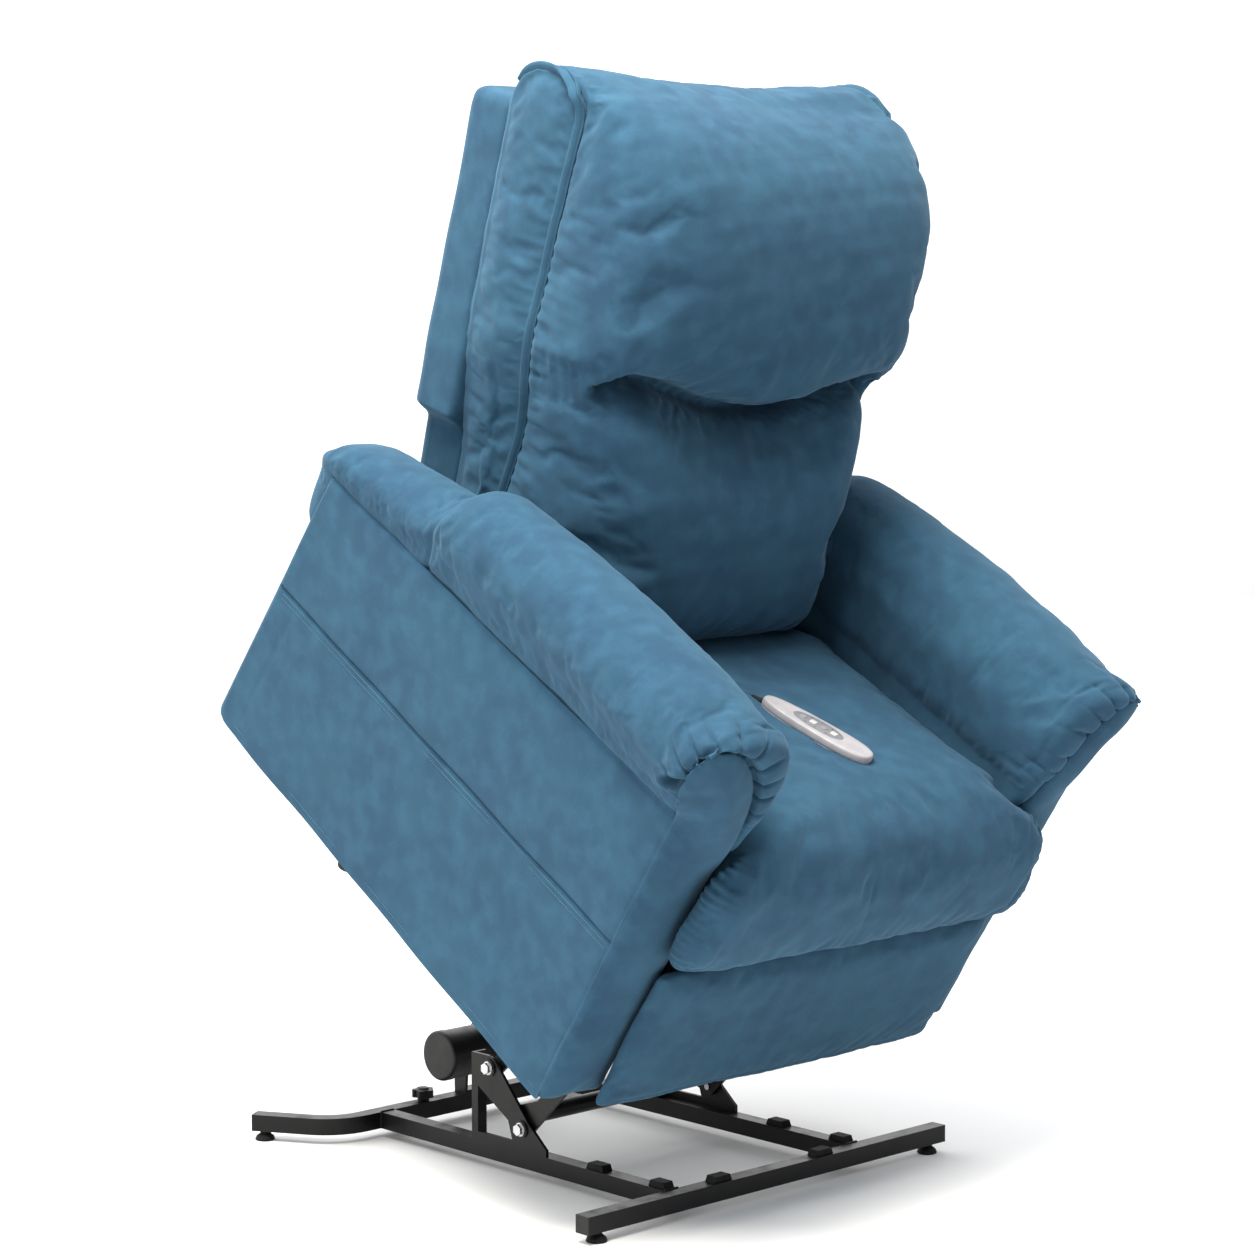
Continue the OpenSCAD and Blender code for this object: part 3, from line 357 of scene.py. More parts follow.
def tube(line, radius, sides=10):
    """Points and faces of a round tube along a line; radius may be one number or one for each point."""
    line = np.asarray(line, float)
    radius = np.broadcast_to(radius, len(line))
    way = np.gradient(line, axis=0)
    way /= np.linalg.norm(way, axis=1, keepdims=True)
    side = np.cross(way[0], [0.31, 0.17, 0.94])
    rings = []
    for p, t, r in zip(line, way, radius):
        side = side - (side @ t) * t
        side = side / np.linalg.norm(side)
        up = np.cross(t, side)
        a = np.arange(sides) * 2 * math.pi / sides
        rings.append(p + r * (np.cos(a)[:, None] * side + np.sin(a)[:, None] * up))
    return loft(rings)


def ribbon(line, out, section, height):
    """Closed strip along a line; section points are (sideways, outward) distances, outward times height."""
    way = np.gradient(line, axis=0)
    way /= np.linalg.norm(way, axis=1, keepdims=True)
    side = np.cross(way, out)
    side /= np.linalg.norm(side, axis=1, keepdims=True)
    up = np.cross(side, way)
    return loft([p + np.outer(section[:, 0], s) + np.outer(section[:, 1] * h, u)
                 for p, s, u, h in zip(line, side, up, height)])


def joined(parts):
    """Several (points, faces) pairs as one."""
    starts = np.cumsum([0] + [len(p) for p, _ in parts])
    return np.vstack([p for p, _ in parts]), np.vstack([f + start for (_, f), start in zip(parts, starts)])


def turned_out(points, faces):
    """Faces in the order that points their normals outward."""
    a, b, c, d = (points[faces[:, k]] for k in range(4))
    volume = np.einsum("ij,ij->", a, np.cross(b, c)) + np.einsum("ij,ij->", a, np.cross(c, d))
    return faces if volume > 0 else faces[:, [1, 0, 3, 2]]


def piece(name, points, faces, place, material, body, slot, nodes=(), fill=None):
    """One finished mesh piece that rides on a body."""
    points = placed(points, place)
    obj = new_object(name, points, turned_out(points, faces))
    obj.data.polygons.foreach_set("use_smooth", [True] * len(obj.data.polygons))
    obj.data.materials.append(material)
    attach(obj, body)
    if nodes:
        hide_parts(*nodes)
    return obj


# ---- materials ----
def add_node(tree, kind, inputs=None, **settings):
    """A node with its settings, its inputs set to values or linked to outputs."""
    node = tree.nodes.new(kind)
    for key, value in settings.items():
        setattr(node, key, value)
    for key, value in (inputs or {}).items():
        if isinstance(value, bpy.types.NodeSocket):
            tree.links.new(value, node.inputs[key])
        else:
            node.inputs[key].default_value = value
    return node


def finish_named(name):
    """An empty material with its shader, ready for its pattern."""
    known = bpy.data.materials.get(name)
    if known:
        return known, None, None
    material = bpy.data.materials.new(name)
    material.use_nodes = True
    tree = material.node_tree
    return material, tree, tree.nodes["Principled BSDF"]


def rgba(colour, factor=1.0):
    return [c * factor for c in colour[:3]] + [1.0]


def noise_at(tree, size, detail=2.0, roughness=0.5, distortion=0.0):
    """Noise whose spots are about size metres across."""
    at = add_node(tree, "ShaderNodeTexCoord")
    return add_node(tree, "ShaderNodeTexNoise",
                    {"Vector": at.outputs["Object"], "Scale": 1 / size, "Detail": detail,
                     "Roughness": roughness, "Distortion": distortion}).outputs["Fac"]


def mixed(tree, factor, a, b):
    """Colour between a and b; the Mix node's colour sockets have the numbers 6, 7 and 2."""
    return add_node(tree, "ShaderNodeMix", {0: factor, 6: a, 7: b}, data_type="RGBA").outputs[2]


def spread(tree, value, low, high, to_low=0.0, to_high=1.0):
    return add_node(tree, "ShaderNodeMapRange",
                    {"Value": value, "From Min": low, "From Max": high, "To Min": to_low, "To Max": to_high},
                    interpolation_type="SMOOTHSTEP").outputs["Result"]


def bumped(tree, shader, height, distance, strength=1.0):
    bump = add_node(tree, "ShaderNodeBump", {"Height": height, "Distance": distance, "Strength": strength})
    tree.links.new(bump.outputs["Normal"], shader.inputs["Normal"])


def set_inputs(shader, **values):
    for key, value in values.items():
        shader.inputs[key.replace("_", " ")].default_value = value


NAP_CLOUD = 0.120       # clouds of brushed nap
NAP_STROKE = 0.030      # strokes of a hand within them
PILE = 0.0016           # the pile is finer, 0.3 mm, and is drawn coarse enough to show


def micro_suede():
    """Micro-suede, a brushed polyester knit: matt, with a soft bloom at grazing angles and faint clouds
    where the short nap has been stroked two ways."""
    colours = bpy.context.scene.lift_chair_colours
    material, tree, shader = finish_named("micro_suede_brushed")
    if tree is None:
        return material
    cloud = noise_at(tree, NAP_CLOUD, 3, 0.5, 0.2)
    stroke = noise_at(tree, NAP_STROKE, 3, 0.5)
    pile = noise_at(tree, PILE, 2, 0.7)
    body = mixed(tree, spread(tree, cloud, 0.30, 0.70), rgba(colours.suede_dark), rgba(colours.suede))
    lit = mixed(tree, spread(tree, stroke, 0.35, 0.75, 0.0, 0.60), body, rgba(colours.suede_light))
    worn = mixed(tree, spread(tree, pile, 0.30, 0.72, 0.0, 0.30), lit, rgba(colours.suede_dark, 0.75))
    tree.links.new(worn, shader.inputs["Base Color"])
    set_inputs(shader, Roughness=0.92, IOR=1.46, Sheen_Weight=0.22, Sheen_Roughness=0.45,
               Sheen_Tint=rgba(linear("8fb6d0")), Specular_IOR_Level=0.2)
    bumped(tree, shader, pile, 0.0005, 0.5)
    return material


def powder_coat():
    """Black powder coat on steel: satin, with a fine orange peel from the baked powder."""
    colours = bpy.context.scene.lift_chair_colours
    material, tree, shader = finish_named("powder_coat_satin_black")
    if tree is None:
        return material
    peel = noise_at(tree, 0.0016, 2, 0.5)
    dust = spread(tree, noise_at(tree, 0.03, 4, 0.6), 0.4, 0.75)
    colour = mixed(tree, spread(tree, dust, 0, 1, 0.0, 0.25), rgba(colours.powder), rgba(linear("151417")))
    tree.links.new(colour, shader.inputs["Base Color"])
    tree.links.new(spread(tree, dust, 0, 1, 0.34, 0.47), shader.inputs["Roughness"])
    set_inputs(shader, IOR=1.5, Specular_IOR_Level=0.22)
    bumped(tree, shader, peel, 0.00025, 0.5)
    return material


def plated_metal(name, hex_colour, roughness, grain, dull=0.12):
    """Metal with a fine random grain from rolling, tumbling or plating, a little duller in patches."""
    material, tree, shader = finish_named(name)
    if tree is None:
        return material
    fine = noise_at(tree, grain, 3, 0.6)
    patch = spread(tree, noise_at(tree, grain * 18, 3, 0.5), 0.35, 0.7)
    colour = mixed(tree, patch, rgba(linear(hex_colour)), rgba(linear(hex_colour), 0.78))
    tree.links.new(colour, shader.inputs["Base Color"])
    tree.links.new(spread(tree, patch, 0, 1, roughness, roughness + dull), shader.inputs["Roughness"])
    set_inputs(shader, Metallic=1.0)
    bumped(tree, shader, fine, 0.0001, 0.35)
    return material


def moulded_plastic(name, colour, roughness, spark=0.0011, depth=0.00012):
    """Injection-moulded plastic with a fine spark-eroded grain, slightly uneven in gloss."""
    material, tree, shader = finish_named(name)
    if tree is None:
        return material
    grain = noise_at(tree, spark, 2, 0.5)
    soft = spread(tree, noise_at(tree, 0.02, 3, 0.5), 0.35, 0.7)
    tree.links.new(mixed(tree, soft, rgba(colour), rgba(colour, 0.9)), shader.inputs["Base Color"])
    tree.links.new(spread(tree, soft, 0, 1, roughness, roughness + 0.1), shader.inputs["Roughness"])
    set_inputs(shader, IOR=1.5, Specular_IOR_Level=0.3)
    bumped(tree, shader, grain, depth, 0.5)
    return material


def stained_and_shaded_wood():
    """Planed poplar frame wood under a dark dip stain, its browns darkened further as painted shade for the
    gaps between the covers where it shows, with grain lines a few millimetres apart.
    """
    material, tree, shader = finish_named("planed_poplar_stained_and_shaded")
    if tree is None:
        return material
    at = add_node(tree, "ShaderNodeTexCoord")
    stretched = add_node(tree, "ShaderNodeMapping", {"Vector": at.outputs["Object"], "Scale": (14, 2.2, 14)})
    grain = add_node(tree, "ShaderNodeTexNoise",
                     {"Vector": stretched.outputs["Vector"], "Scale": 9.0, "Detail": 5, "Roughness": 0.62,
                      "Distortion": 0.7}).outputs["Fac"]
    # both browns are the stain darkened further: painted shade for the narrow gaps where the frame shows
    colour = mixed(tree, spread(tree, grain, 0.35, 0.7), rgba(linear("241b16")), rgba(linear("15100c")))
    tree.links.new(colour, shader.inputs["Base Color"])
    set_inputs(shader, Roughness=0.62)
    bumped(tree, shader, grain, 0.0003, 0.4)
    return material


def finish(nodes, material):
    """Gives CAD nodes their finish."""
    for name in nodes:
        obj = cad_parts[name]
        obj.data.materials.clear()
        obj.data.materials.append(material)


# ---- stage ----
CAMERA_AT = (-3.2468, -3.3228, 1.2357)
CAMERA_HEADING = math.radians(-43.6228)
CAMERA_PITCH = math.radians(5.3245)
LENS = 91.87
SENSOR = 36.0


def make_camera():
    data = bpy.data.cameras.new("camera")
    data.lens = LENS
    data.sensor_width = SENSOR
    obj = bpy.data.objects.new("camera", data)
    obj.location = CAMERA_AT
    obj.rotation_euler = (math.pi / 2 - CAMERA_PITCH, 0, CAMERA_HEADING)
    bpy.context.scene.collection.objects.link(obj)
    bpy.context.scene.camera = obj


def soft_light(name, at, aim, size, power, colour="ffffff"):
    data = bpy.data.lights.new(name, "AREA")
    data.shape = "RECTANGLE"
    data.size, data.size_y = size
    data.energy = power
    data.color = linear(colour)
    obj = bpy.data.objects.new(name, data)
    obj.location = at
    obj.rotation_euler = (Vector(aim) - Vector(at)).to_track_quat("-Z", "Y").to_euler()
    bpy.context.scene.collection.objects.link(obj)


SKY_AIM = (0.0, 0.55, 0.83)      # where the soft sky is brightest


def make_sky():
    """Soft white surroundings, brightest above and behind the chair, dim and bluish from the front."""
    world = bpy.data.worlds.new("studio")
    bpy.context.scene.world = world
    world.use_nodes = True
    tree = world.node_tree
    at = add_node(tree, "ShaderNodeTexCoord")
    lean = add_node(tree, "ShaderNodeVectorMath", {0: at.outputs["Generated"], 1: SKY_AIM},
                    operation="DOT_PRODUCT").outputs["Value"]
    strength = add_node(tree, "ShaderNodeMapRange", {"Value": lean, "From Min": -0.15, "From Max": 0.9,
                                                     "To Min": 0.03, "To Max": 2.55}).outputs["Result"]
    tree.links.new(strength, tree.nodes["Background"].inputs["Strength"])
    tint = mixed(tree, spread(tree, lean, -0.5, -0.05), rgba(linear("a4c0ff")), rgba(linear("ffffff")))
    tree.links.new(tint, tree.nodes["Background"].inputs["Color"])


def make_stage():
    points = [(-9, -9, 0), (9, -9, 0), (9, 9, 0), (-9, 9, 0)]
    floor = new_object("floor", points, [[0, 1, 2, 3]])
    material, tree, shader = finish_named("studio_floor_matt")
    speck = noise_at(tree, 0.5, 2, 0.5)
    tree.links.new(mixed(tree, speck, rgba(linear("dfdfdf")), rgba(linear("e4e4e4"))),
                   shader.inputs["Base Color"])
    set_inputs(shader, Roughness=0.9, Specular_IOR_Level=0.1)
    floor.data.materials.append(material)
    make_sky()
    chair = (0, 0.1, 0.6)
    soft_light("key_light", (-1.25, -0.65, 3.55), chair, (1.5, 1.5), 228, "fffaf0")
    soft_light("side_light", (-4.2, 0.4, 1.6), chair, (1.6, 2.0), 8, "f0fbe0")
    soft_light("fill_light", (2.6, -3.6, 1.8), chair, (2.4, 2.4), 4, "a8c4ff")
    bpy.context.scene.view_settings.view_transform = "Standard"


# ---- handset cord ----
CORD_D = 0.0044
# middle of the cord in the chair's directions, from the handset over the seat and down beside the left arm
CORD_ROUTE = [
    (-0.025, 0.257, 0.4525), (-0.028, 0.267, 0.450), (-0.030, 0.282, 0.445), (-0.031, 0.298, 0.440),
    (-0.032, 0.314, 0.437), (-0.037, 0.331, 0.4348), (-0.052, 0.346, 0.433), (-0.078, 0.356, 0.4318),
    (-0.112, 0.361, 0.4314), (-0.150, 0.364, 0.431), (-0.188, 0.366, 0.4298), (-0.222, 0.368, 0.4272),
    (-0.248, 0.370, 0.424), (-0.266, 0.371, 0.420), (-0.278, 0.372, 0.413), (-0.284, 0.372, 0.403),
    (-0.285, 0.372, 0.390), (-0.285, 0.372, 0.365), (-0.285, 0.372, 0.340), (-0.285, 0.372, 0.318)]


def make_cord():
    route = placed(CORD_ROUTE, CHAIR)
    curve = bpy.data.curves.new("handset_lead", "CURVE")
    curve.dimensions = "3D"
    curve.bevel_depth = CORD_D / 2
    curve.bevel_resolution = 5
    curve.use_fill_caps = True
    spline = curve.splines.new("BEZIER")
    spline.bezier_points.add(len(route) - 1)
    for point, at in zip(spline.bezier_points, route):
        point.co = at
        point.handle_left_type = point.handle_right_type = "AUTO"
    obj = bpy.data.objects.new("handset_lead", curve)
    bpy.context.scene.collection.objects.link(obj)
    # PVC sheath: satin, close to black
    curve.materials.append(moulded_plastic("pvc_sheath_black", linear("18181a"), 0.42))
    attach(obj, "chair")
    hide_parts("handset_cord")


# ---- backrest ----
BACK_W = 0.305          # half width above the arms
BACK_W_LOW = 0.266      # half width between the arms
BACK_LOW = 0.088        # foot of the cushion
BACK_REAR = 0.034       # rear face of the cushion
# welt between the side gusset and the crowned front: (s, d) up the front, over the top corner
WELT_LINE = [(0.096, -0.060), (0.200, -0.060), (0.275, -0.064), (0.360, -0.078), (0.455, -0.092),
             (0.600, -0.101), (0.720, -0.107), (0.800, -0.112), (0.832, -0.113), (0.848, -0.104),
             (0.866, -0.078), (0.876, -0.045), (0.877, -0.015), (0.866, 0.010), (0.845, 0.028)]
# middle of the crowned front: (s, d) from the bottom up
FRONT_LINE = [(0.088, -0.205), (0.096, -0.240), (0.125, -0.272), (0.187, -0.291), (0.250, -0.297),
              (0.310, -0.298), (0.360, -0.291), (0.392, -0.277), (0.415, -0.254), (0.430, -0.226),
              (0.438, -0.190), (0.450, -0.186), (0.456, -0.218), (0.459, -0.250), (0.463, -0.278),
              (0.474, -0.298), (0.498, -0.308), (0.545, -0.314), (0.620, -0.312), (0.700, -0.300),
              (0.770, -0.272), (0.820, -0.230), (0.850, -0.180), (0.866, -0.125)]
CREASE_S = 0.450        # crease between the head pillow and the lumbar roll, in the middle


def back_half_width(s):
    """Narrow between the arms, wider above them."""
    return BACK_W_LOW + (BACK_W - BACK_W_LOW) * smoothstep(s, 0.34, 0.52)


def crease_rise(x):
    """How much higher the crease runs than in the middle: up towards the sides, then down at the welts."""
    x = np.abs(x)
    return 0.046 * smoothstep(x, 0.02, 0.235) - 0.034 * smoothstep(x, 0.245, 0.305)


def back_profile(u, front_n=120):
    """Closed outline in (s, d) at share u of the half width, the front first."""
    welt = smooth_line(WELT_LINE[:10], 160)
    front = smooth_line(FRONT_LINE, front_n)
    s_front, middle = front.T
    x = abs(u) * BACK_W
    # the crease follows its own curve, and closes to a thin seam beside the welts
    weight = np.exp(-((s_front - CREASE_S) / 0.11) ** 2)
    shallow = smoothstep(x, 0.250, 0.300)
    plain = np.interp(s_front, [0.088, 0.15, 0.30, 0.50, 0.70, 0.80, 0.866],
                      [-0.215, -0.280, -0.292, -0.292, -0.285, -0.240, -0.125])
    level = np.maximum.accumulate(s_front)
    near_crease = np.exp(-((s_front - CREASE_S) / 0.055) ** 2)
    middle = middle + (plain - middle) * shallow * near_crease
    s_front = s_front + (level - s_front) * shallow + crease_rise(x) * weight
    welt_d = np.interp(s_front, welt[:, 0], welt[:, 1])
    crown = (1 - min(abs(u), 1) ** 6) ** 0.32
    d = welt_d + (middle - welt_d) * crown
    # the cushion has sunk a little towards the right
    s_front = s_front - (0.005 + 0.010 * smoothstep(u, -0.95, 0.9)) * smoothstep(s_front, 0.72, 0.86) * crown
    low = np.interp(abs(u), [0, 0.8, 1], [0, 0.002, 0.010])
    s_front = s_front + np.interp(s_front, [BACK_LOW, BACK_LOW + 0.05], [low, 0])
    over_top = [(0.874, -0.085), (0.874, -0.050), (0.869, -0.014), (0.852, 0.016), (0.815, BACK_REAR)]
    rear = [(0.70, BACK_REAR), (0.50, BACK_REAR), (0.30, BACK_REAR), (0.15, BACK_REAR), (0.100, 0.026),
            (BACK_LOW, 0.000), (BACK_LOW, -0.060), (BACK_LOW, -0.120), (BACK_LOW, -0.170)]
    return np.vstack([np.column_stack([s_front, d]), over_top, rear])


def fullness(s, side):
    """The pillow is a little fuller on its right side."""
    return 1 + 0.032 * np.exp(-((s - 0.73) / 0.08) ** 2) * (side > 0)


def back_form():
    """Loft of side profiles from gusset to gusset, each gusset filled in towards its own middle."""
    rings = []
    for u in np.sin(np.linspace(-1.49, 1.49, 67)):
        profile = back_profile(u)
        x = u * back_half_width(profile[:, 0])
        fuller = 1 + (fullness(profile[:, 0], 1) - 1) * smoothstep(u, 0.6, 1.0)
        rings.append(np.column_stack([x * fuller, profile[:, 1], profile[:, 0]]))
    for u, place in ((-1, 0), (1, len(rings) + 6)):
        profile = back_profile(u)
        for k in (1.0, 0.8, 0.6, 0.4, 0.2, 0.04):
            d = -0.035 + (profile[:, 1] + 0.035) * k
            height = 0.48 + (profile[:, 0] - 0.48) * (0.90 + 0.10 * k)
            x = u * (back_half_width(height) + 0.004 * (1 - k * k)) * fullness(height, u)
            rings.insert(place, np.column_stack([x, d, height]))
            place += u > 0
    return loft(rings)


def welt_route(side, count=110):
    line = smooth_line(WELT_LINE, count)
    half = back_half_width(line[:, 0]) * fullness(line[:, 0], side)
    return np.column_stack([side * half, line[:, 1], line[:, 0]])


def crease_route():
    x = np.linspace(-0.302, 0.302, 61)
    s = CREASE_S + crease_rise(x)
    d = -0.215 - 0.060 * smoothstep(np.abs(x), 0.17, 0.24) + 0.17 * smoothstep(np.abs(x), 0.262, 0.302)
    return np.column_stack([x, d, s])


# flat-felled welt: (sideways, outward) outline of the strip, its stitched edge to the rear
WELT_SECTION = np.array([(-0.0110, -0.0030), (-0.0109, 0.0006), (-0.0100, 0.0020), (-0.0086, 0.0006),
                         (-0.0074, 0.0020), (-0.0045, 0.0038), (-0.0008, 0.0052), (0.0014, 0.0050),
                         (0.0024, 0.0028), (0.0022, -0.0010), (0.0008, -0.0040)])


def make_back_cushion():
    sizes = bpy.context.scene.lift_chair_sizes
    points, faces = remeshed(*back_form(), sizes.voxel, smooth=2)
    routes = {name: welt_route(side) for name, side in SIDES.items()}
    gap = np.minimum(*(near_line(points, line)[0] for line in routes.values()))
    crease = near_line(points, crease_route())[0]
    held = np.exp(-(gap / 0.012) ** 2) + np.exp(-(crease / 0.022) ** 2)
    held += (points[:, 1] > 0.01) | (points[:, 2] < BACK_LOW + 0.012)
    points = puffed(points, faces, np.clip(held, 0, 1), pressure=3.0, surplus=0.04, cap=0.010)
    points, faces = subdivided(points, faces)
    out = normals(points, faces)
    front = smoothstep(np.interp(points[:, 2], *np.array(WELT_LINE[:9]).T) - points[:, 1], -0.002, 0.014)
    shift = 0.0012 * clouds(points, 0.045, 5) + 0.0006 * clouds(points, 0.016, 6)
    for seed, line in zip((11, 23), routes.values()):
        gap, _ = near_line(points, line)
        shift += gathers(points, line, 0.0205, 0.046, 0.0018, seed) * front
        shift -= 0.0065 * np.exp(-((gap - 0.005) / 0.008) ** 2) * (0.25 + 0.75 * front)
    edge = smoothstep(np.abs(points[:, 0]), 0.235, 0.265)
    shift += groove(points, crease_route(), 0.0040, 0.0066) * edge
    shift += gathers(points, crease_route(), 0.021, 0.034, 0.0014, 31) * front * (0.25 + 0.75 * edge)
    rear_seam = np.array([[side * BACK_W, 0.030, z] for side in (-1, 1) for z in (0.42, 0.82)])
    shift += groove(points, rear_seam[:2], 0.005, 0.003) + groove(points, rear_seam[2:], 0.005, 0.003)
    points = points + out * shift[:, None]
    piece("back_cushion_cover", points, faces, BACK, micro_suede(), "back", "suede", ["back_cushion"],
          fill=0.8)
    make_welts(points, faces, routes)


def make_welts(points, faces, routes):
    """The stitched strips where front and gusset meet, laid on the finished cushion."""
    sizes = bpy.context.scene.lift_chair_sizes
    for name, route in routes.items():
        line, out = laid_on(route, points, faces)
        line, out = eased(line, 4), eased(out, 6)
        corner = np.exp(-((line[:, 1] + 0.103) / 0.007) ** 2) * (line[:, 2] > 0.82)
        line += out * 0.0090 * corner[:, None]
        way = SIDES[name]
        section = WELT_SECTION * (way, 1)
        fin = 1 + 1.1 * smoothstep(line[:, 2], 0.840, 0.862)
        piece(f"back_welt_{name}", *ribbon(line, out, section, fin), BACK, micro_suede(), "back", "suede")
        across = np.cross(np.gradient(line, axis=0), out)
        across /= np.linalg.norm(across, axis=1, keepdims=True)
        row = line + across * way * -0.0100 + out * 0.0010
        piece(f"back_welt_stitching_{name}", *stitch_row(row, sizes.stitch, sizes.thread), BACK,
              sewing_thread(), "back", "suede")


def make_back_cover():
    """Outer back: a padded shell behind the cushion, narrow between the arms."""
    sizes = bpy.context.scene.lift_chair_sizes
    top, low = 0.815, 0.092
    w, n = BACK_W - 0.005, BACK_W_LOW + 0.002
    half = [(n, low), (n, 0.332), (w, 0.350), (w, top - 0.016), (w - 0.004, top - 0.005), (w - 0.015, top)]
    outline = [(-n, low)] + half + [(-x, s) for x, s in half[:0:-1]]
    dense = []
    for a, b in zip(outline, outline[1:] + outline[:1]):
        a, b = np.array(a), np.array(b)
        count = max(int(np.linalg.norm(b - a) / 0.02), 1)
        dense += [a + (b - a) * k / count for k in range(count)]
    dense = np.array(dense)
    middle = dense.mean(0)
    rings = []
    for d, inset in ((0.0300, 0.004), (0.036, 0.0), (0.080, 0.0), (0.106, 0.001), (0.117, 0.005),
                     (0.123, 0.014)):
        ring = middle + (dense - middle) * (1 - inset / 0.30)
        rings.append(at_depth(ring, d))
    points, faces = remeshed(*loft(rings), sizes.voxel, smooth=3)
    points, faces = subdivided(points, faces)
    out = normals(points, faces)
    x, d, _ = points.T
    shift = 0.0012 * clouds(points, 0.06, 8) + 0.003 * np.clip(1 - (x / w) ** 2, 0, 1) * (d > 0.1)
    edge = smooth_line([(-w + 0.012, 0.45), (-w + 0.012, top - 0.05), (-w + 0.05, top - 0.012),
                        (w - 0.05, top - 0.012), (w - 0.012, top - 0.05), (w - 0.012, 0.45)], 90)
    seam = np.column_stack([edge[:, 0], np.full(len(edge), 0.121), edge[:, 1]])
    shift += groove(points, seam, 0.0045, 0.0026)
    piece("outer_back_cover", points + out * shift[:, None], faces, BACK, micro_suede(), "back", "suede",
          ["back_cover"], fill=0.9)


# ---- arms ----
def roll_section(y):
    """Closed (x, z) outline of the right arm's roll and inner side at depth y."""
    stations = np.array([
        # y, outer swell, top height, inner swell
        [-0.07, 0.036, 0.140, 0.012], [0.00, 0.042, 0.148, 0.014], [0.12, 0.042, 0.156, 0.020],
        [0.25, 0.038, 0.160, 0.017], [0.40, 0.033, 0.157, 0.012], [0.52, 0.027, 0.147, 0.009],
        [0.556, 0.023, 0.137, 0.007], [0.568, 0.019, 0.120, 0.005], [0.580, 0.015, 0.106, 0.004],
        [0.60, 0.014, 0.098, 0.004], [0.676, 0.011, 0.081, 0.003], [0.786, 0.008, 0.056, 0.002],
        [0.830, 0.006, 0.042, 0.0], [0.87, 0.002, 0.022, -0.004]])
    swell, top, inner = (np.interp(y, stations[:, 0], stations[:, k]) for k in (1, 2, 3))
    seam = arm_top(y)
    low = seam - 0.10
    out = ARM_OUT + swell
    width_in = ARM_IN - inner
    mid = (out + width_in) / 2
    # a low band along the side seam, then the roll hangs out over it
    band = smoothstep(y, 0.60, 0.55)
    outline = [(ARM_OUT - 0.002, seam - 0.004), (ARM_OUT + 0.004 * band + 0.001, seam + 0.09 * top),
               (ARM_OUT + 0.005 * band + (0.04 + 0.10 * (1 - band)) * swell, seam + 0.20 * top),
               (ARM_OUT + 0.50 * swell, seam + 0.36 * top), (out, seam + 0.57 * top),
               (out - 0.006, seam + 0.76 * top), (out - 0.030, seam + 0.93 * top), (mid + 0.012, seam + top),
               (mid - 0.020, seam + 0.985 * top), (width_in + 0.026, seam + 0.89 * top),
               (width_in + 0.005, seam + 0.70 * top), (width_in, seam + 0.48 * top),
               (width_in + 0.4 * inner, seam + 0.12 * top), (ARM_IN - 0.004, seam - 0.04), (ARM_IN, low),
               (ARM_IN + 0.05, low - 0.004), (ARM_OUT - 0.014, low)]
    return smooth_line(outline, 96, closed=True)


# seam of the right arm's front panel, (x, y, z): up its inner edge, over the arch and down the corner
FRONT_SEAM = [
    (0.300, -0.001, 0.004), (0.292, -0.001, 0.060), (0.288, -0.001, 0.120), (0.287, -0.001, 0.250),
    (0.2885, -0.001, 0.340), (0.292, -0.004, 0.395), (0.302, -0.019, 0.440), (0.313, -0.030, 0.487),
    (0.322, -0.034, 0.530), (0.335, -0.034, 0.565), (0.352, -0.033, 0.590), (0.375, -0.032, 0.612),
    (0.398, -0.030, 0.623), (0.419, -0.028, 0.625), (0.436, -0.025, 0.618), (0.446, -0.021, 0.602),
    (0.447, -0.016, 0.580), (0.441, -0.011, 0.553), (0.429, -0.005, 0.522), (0.4125, -0.001, 0.496),
    (0.410, -0.001, 0.440), (0.410, -0.001, 0.300), (0.410, -0.001, 0.120), (0.409, -0.001, 0.012),
    (0.398, -0.001, 0.002), (0.350, -0.001, 0.001), (0.310, -0.001, 0.001)]
ARCH_MIDDLE = np.array([0.378, 0.515])     # middle of the arch that the pleats gather round
PLEAT_PITCH = 0.0285    # along the arch seam
RIM_BACK = 0.012        # where the roll starts to round in to the arch
# the roll's front rim, as shares: how far it has closed in on the arch, and how far it has come forward
RIM = [(0.0, -0.35), (0.0, 0.0), (0.0, 0.25), (0.015, 0.48), (0.055, 0.70), (0.13, 0.87), (0.25, 0.97),
       (0.41, 1.03), (0.58, 1.06), (0.75, 1.06), (0.88, 1.02), (0.96, 0.94), (1.0, 0.84)]


def front_seam(count=170):
    return smooth_line(FRONT_SEAM, count, closed=True)


def foot_of_roll(x):
    """Height where the roll's front rim begins, higher on its outer side."""
    return np.interp(np.abs(x), [0.29, 0.40], [0.392, 0.430])


def rim_rings(side):
    """Rings that round the front of the roll in to the arch, from the front backward."""
    outer = roll_section(0.0)
    way = outer - ARCH_MIDDLE
    seam = front_seam(260)
    seam = seam[seam[:, 2] > 0.395]
    spoke = seam[:, [0, 2]] - ARCH_MIDDLE
    turn = np.arctan2(spoke[:, 1], spoke[:, 0])
    order = np.argsort(turn)
    angle = np.arctan2(way[:, 1], way[:, 0])
    reach, depth = (np.interp(angle, turn[order], value[order], period=2 * math.pi)
                    for value in (np.hypot(*spoke.T), seam[:, 1]))
    arch = ARCH_MIDDLE + way * (reach * 0.985 / np.hypot(*way.T))[:, None]
    foot = foot_of_roll(outer[:, 0])
    show = smoothstep(outer[:, 1], foot, foot + 0.045)
    puff = smoothstep(outer[:, 1], foot + 0.07, foot + 0.12)
    rings = []
    for share, forward in RIM[::-1]:
        ring = outer + (arch - outer) * share
        y = RIM_BACK - (RIM_BACK + 0.006 * puff - depth) * forward * show
        rings.append(at_depth(ring * (side, 1), y))
    return rings


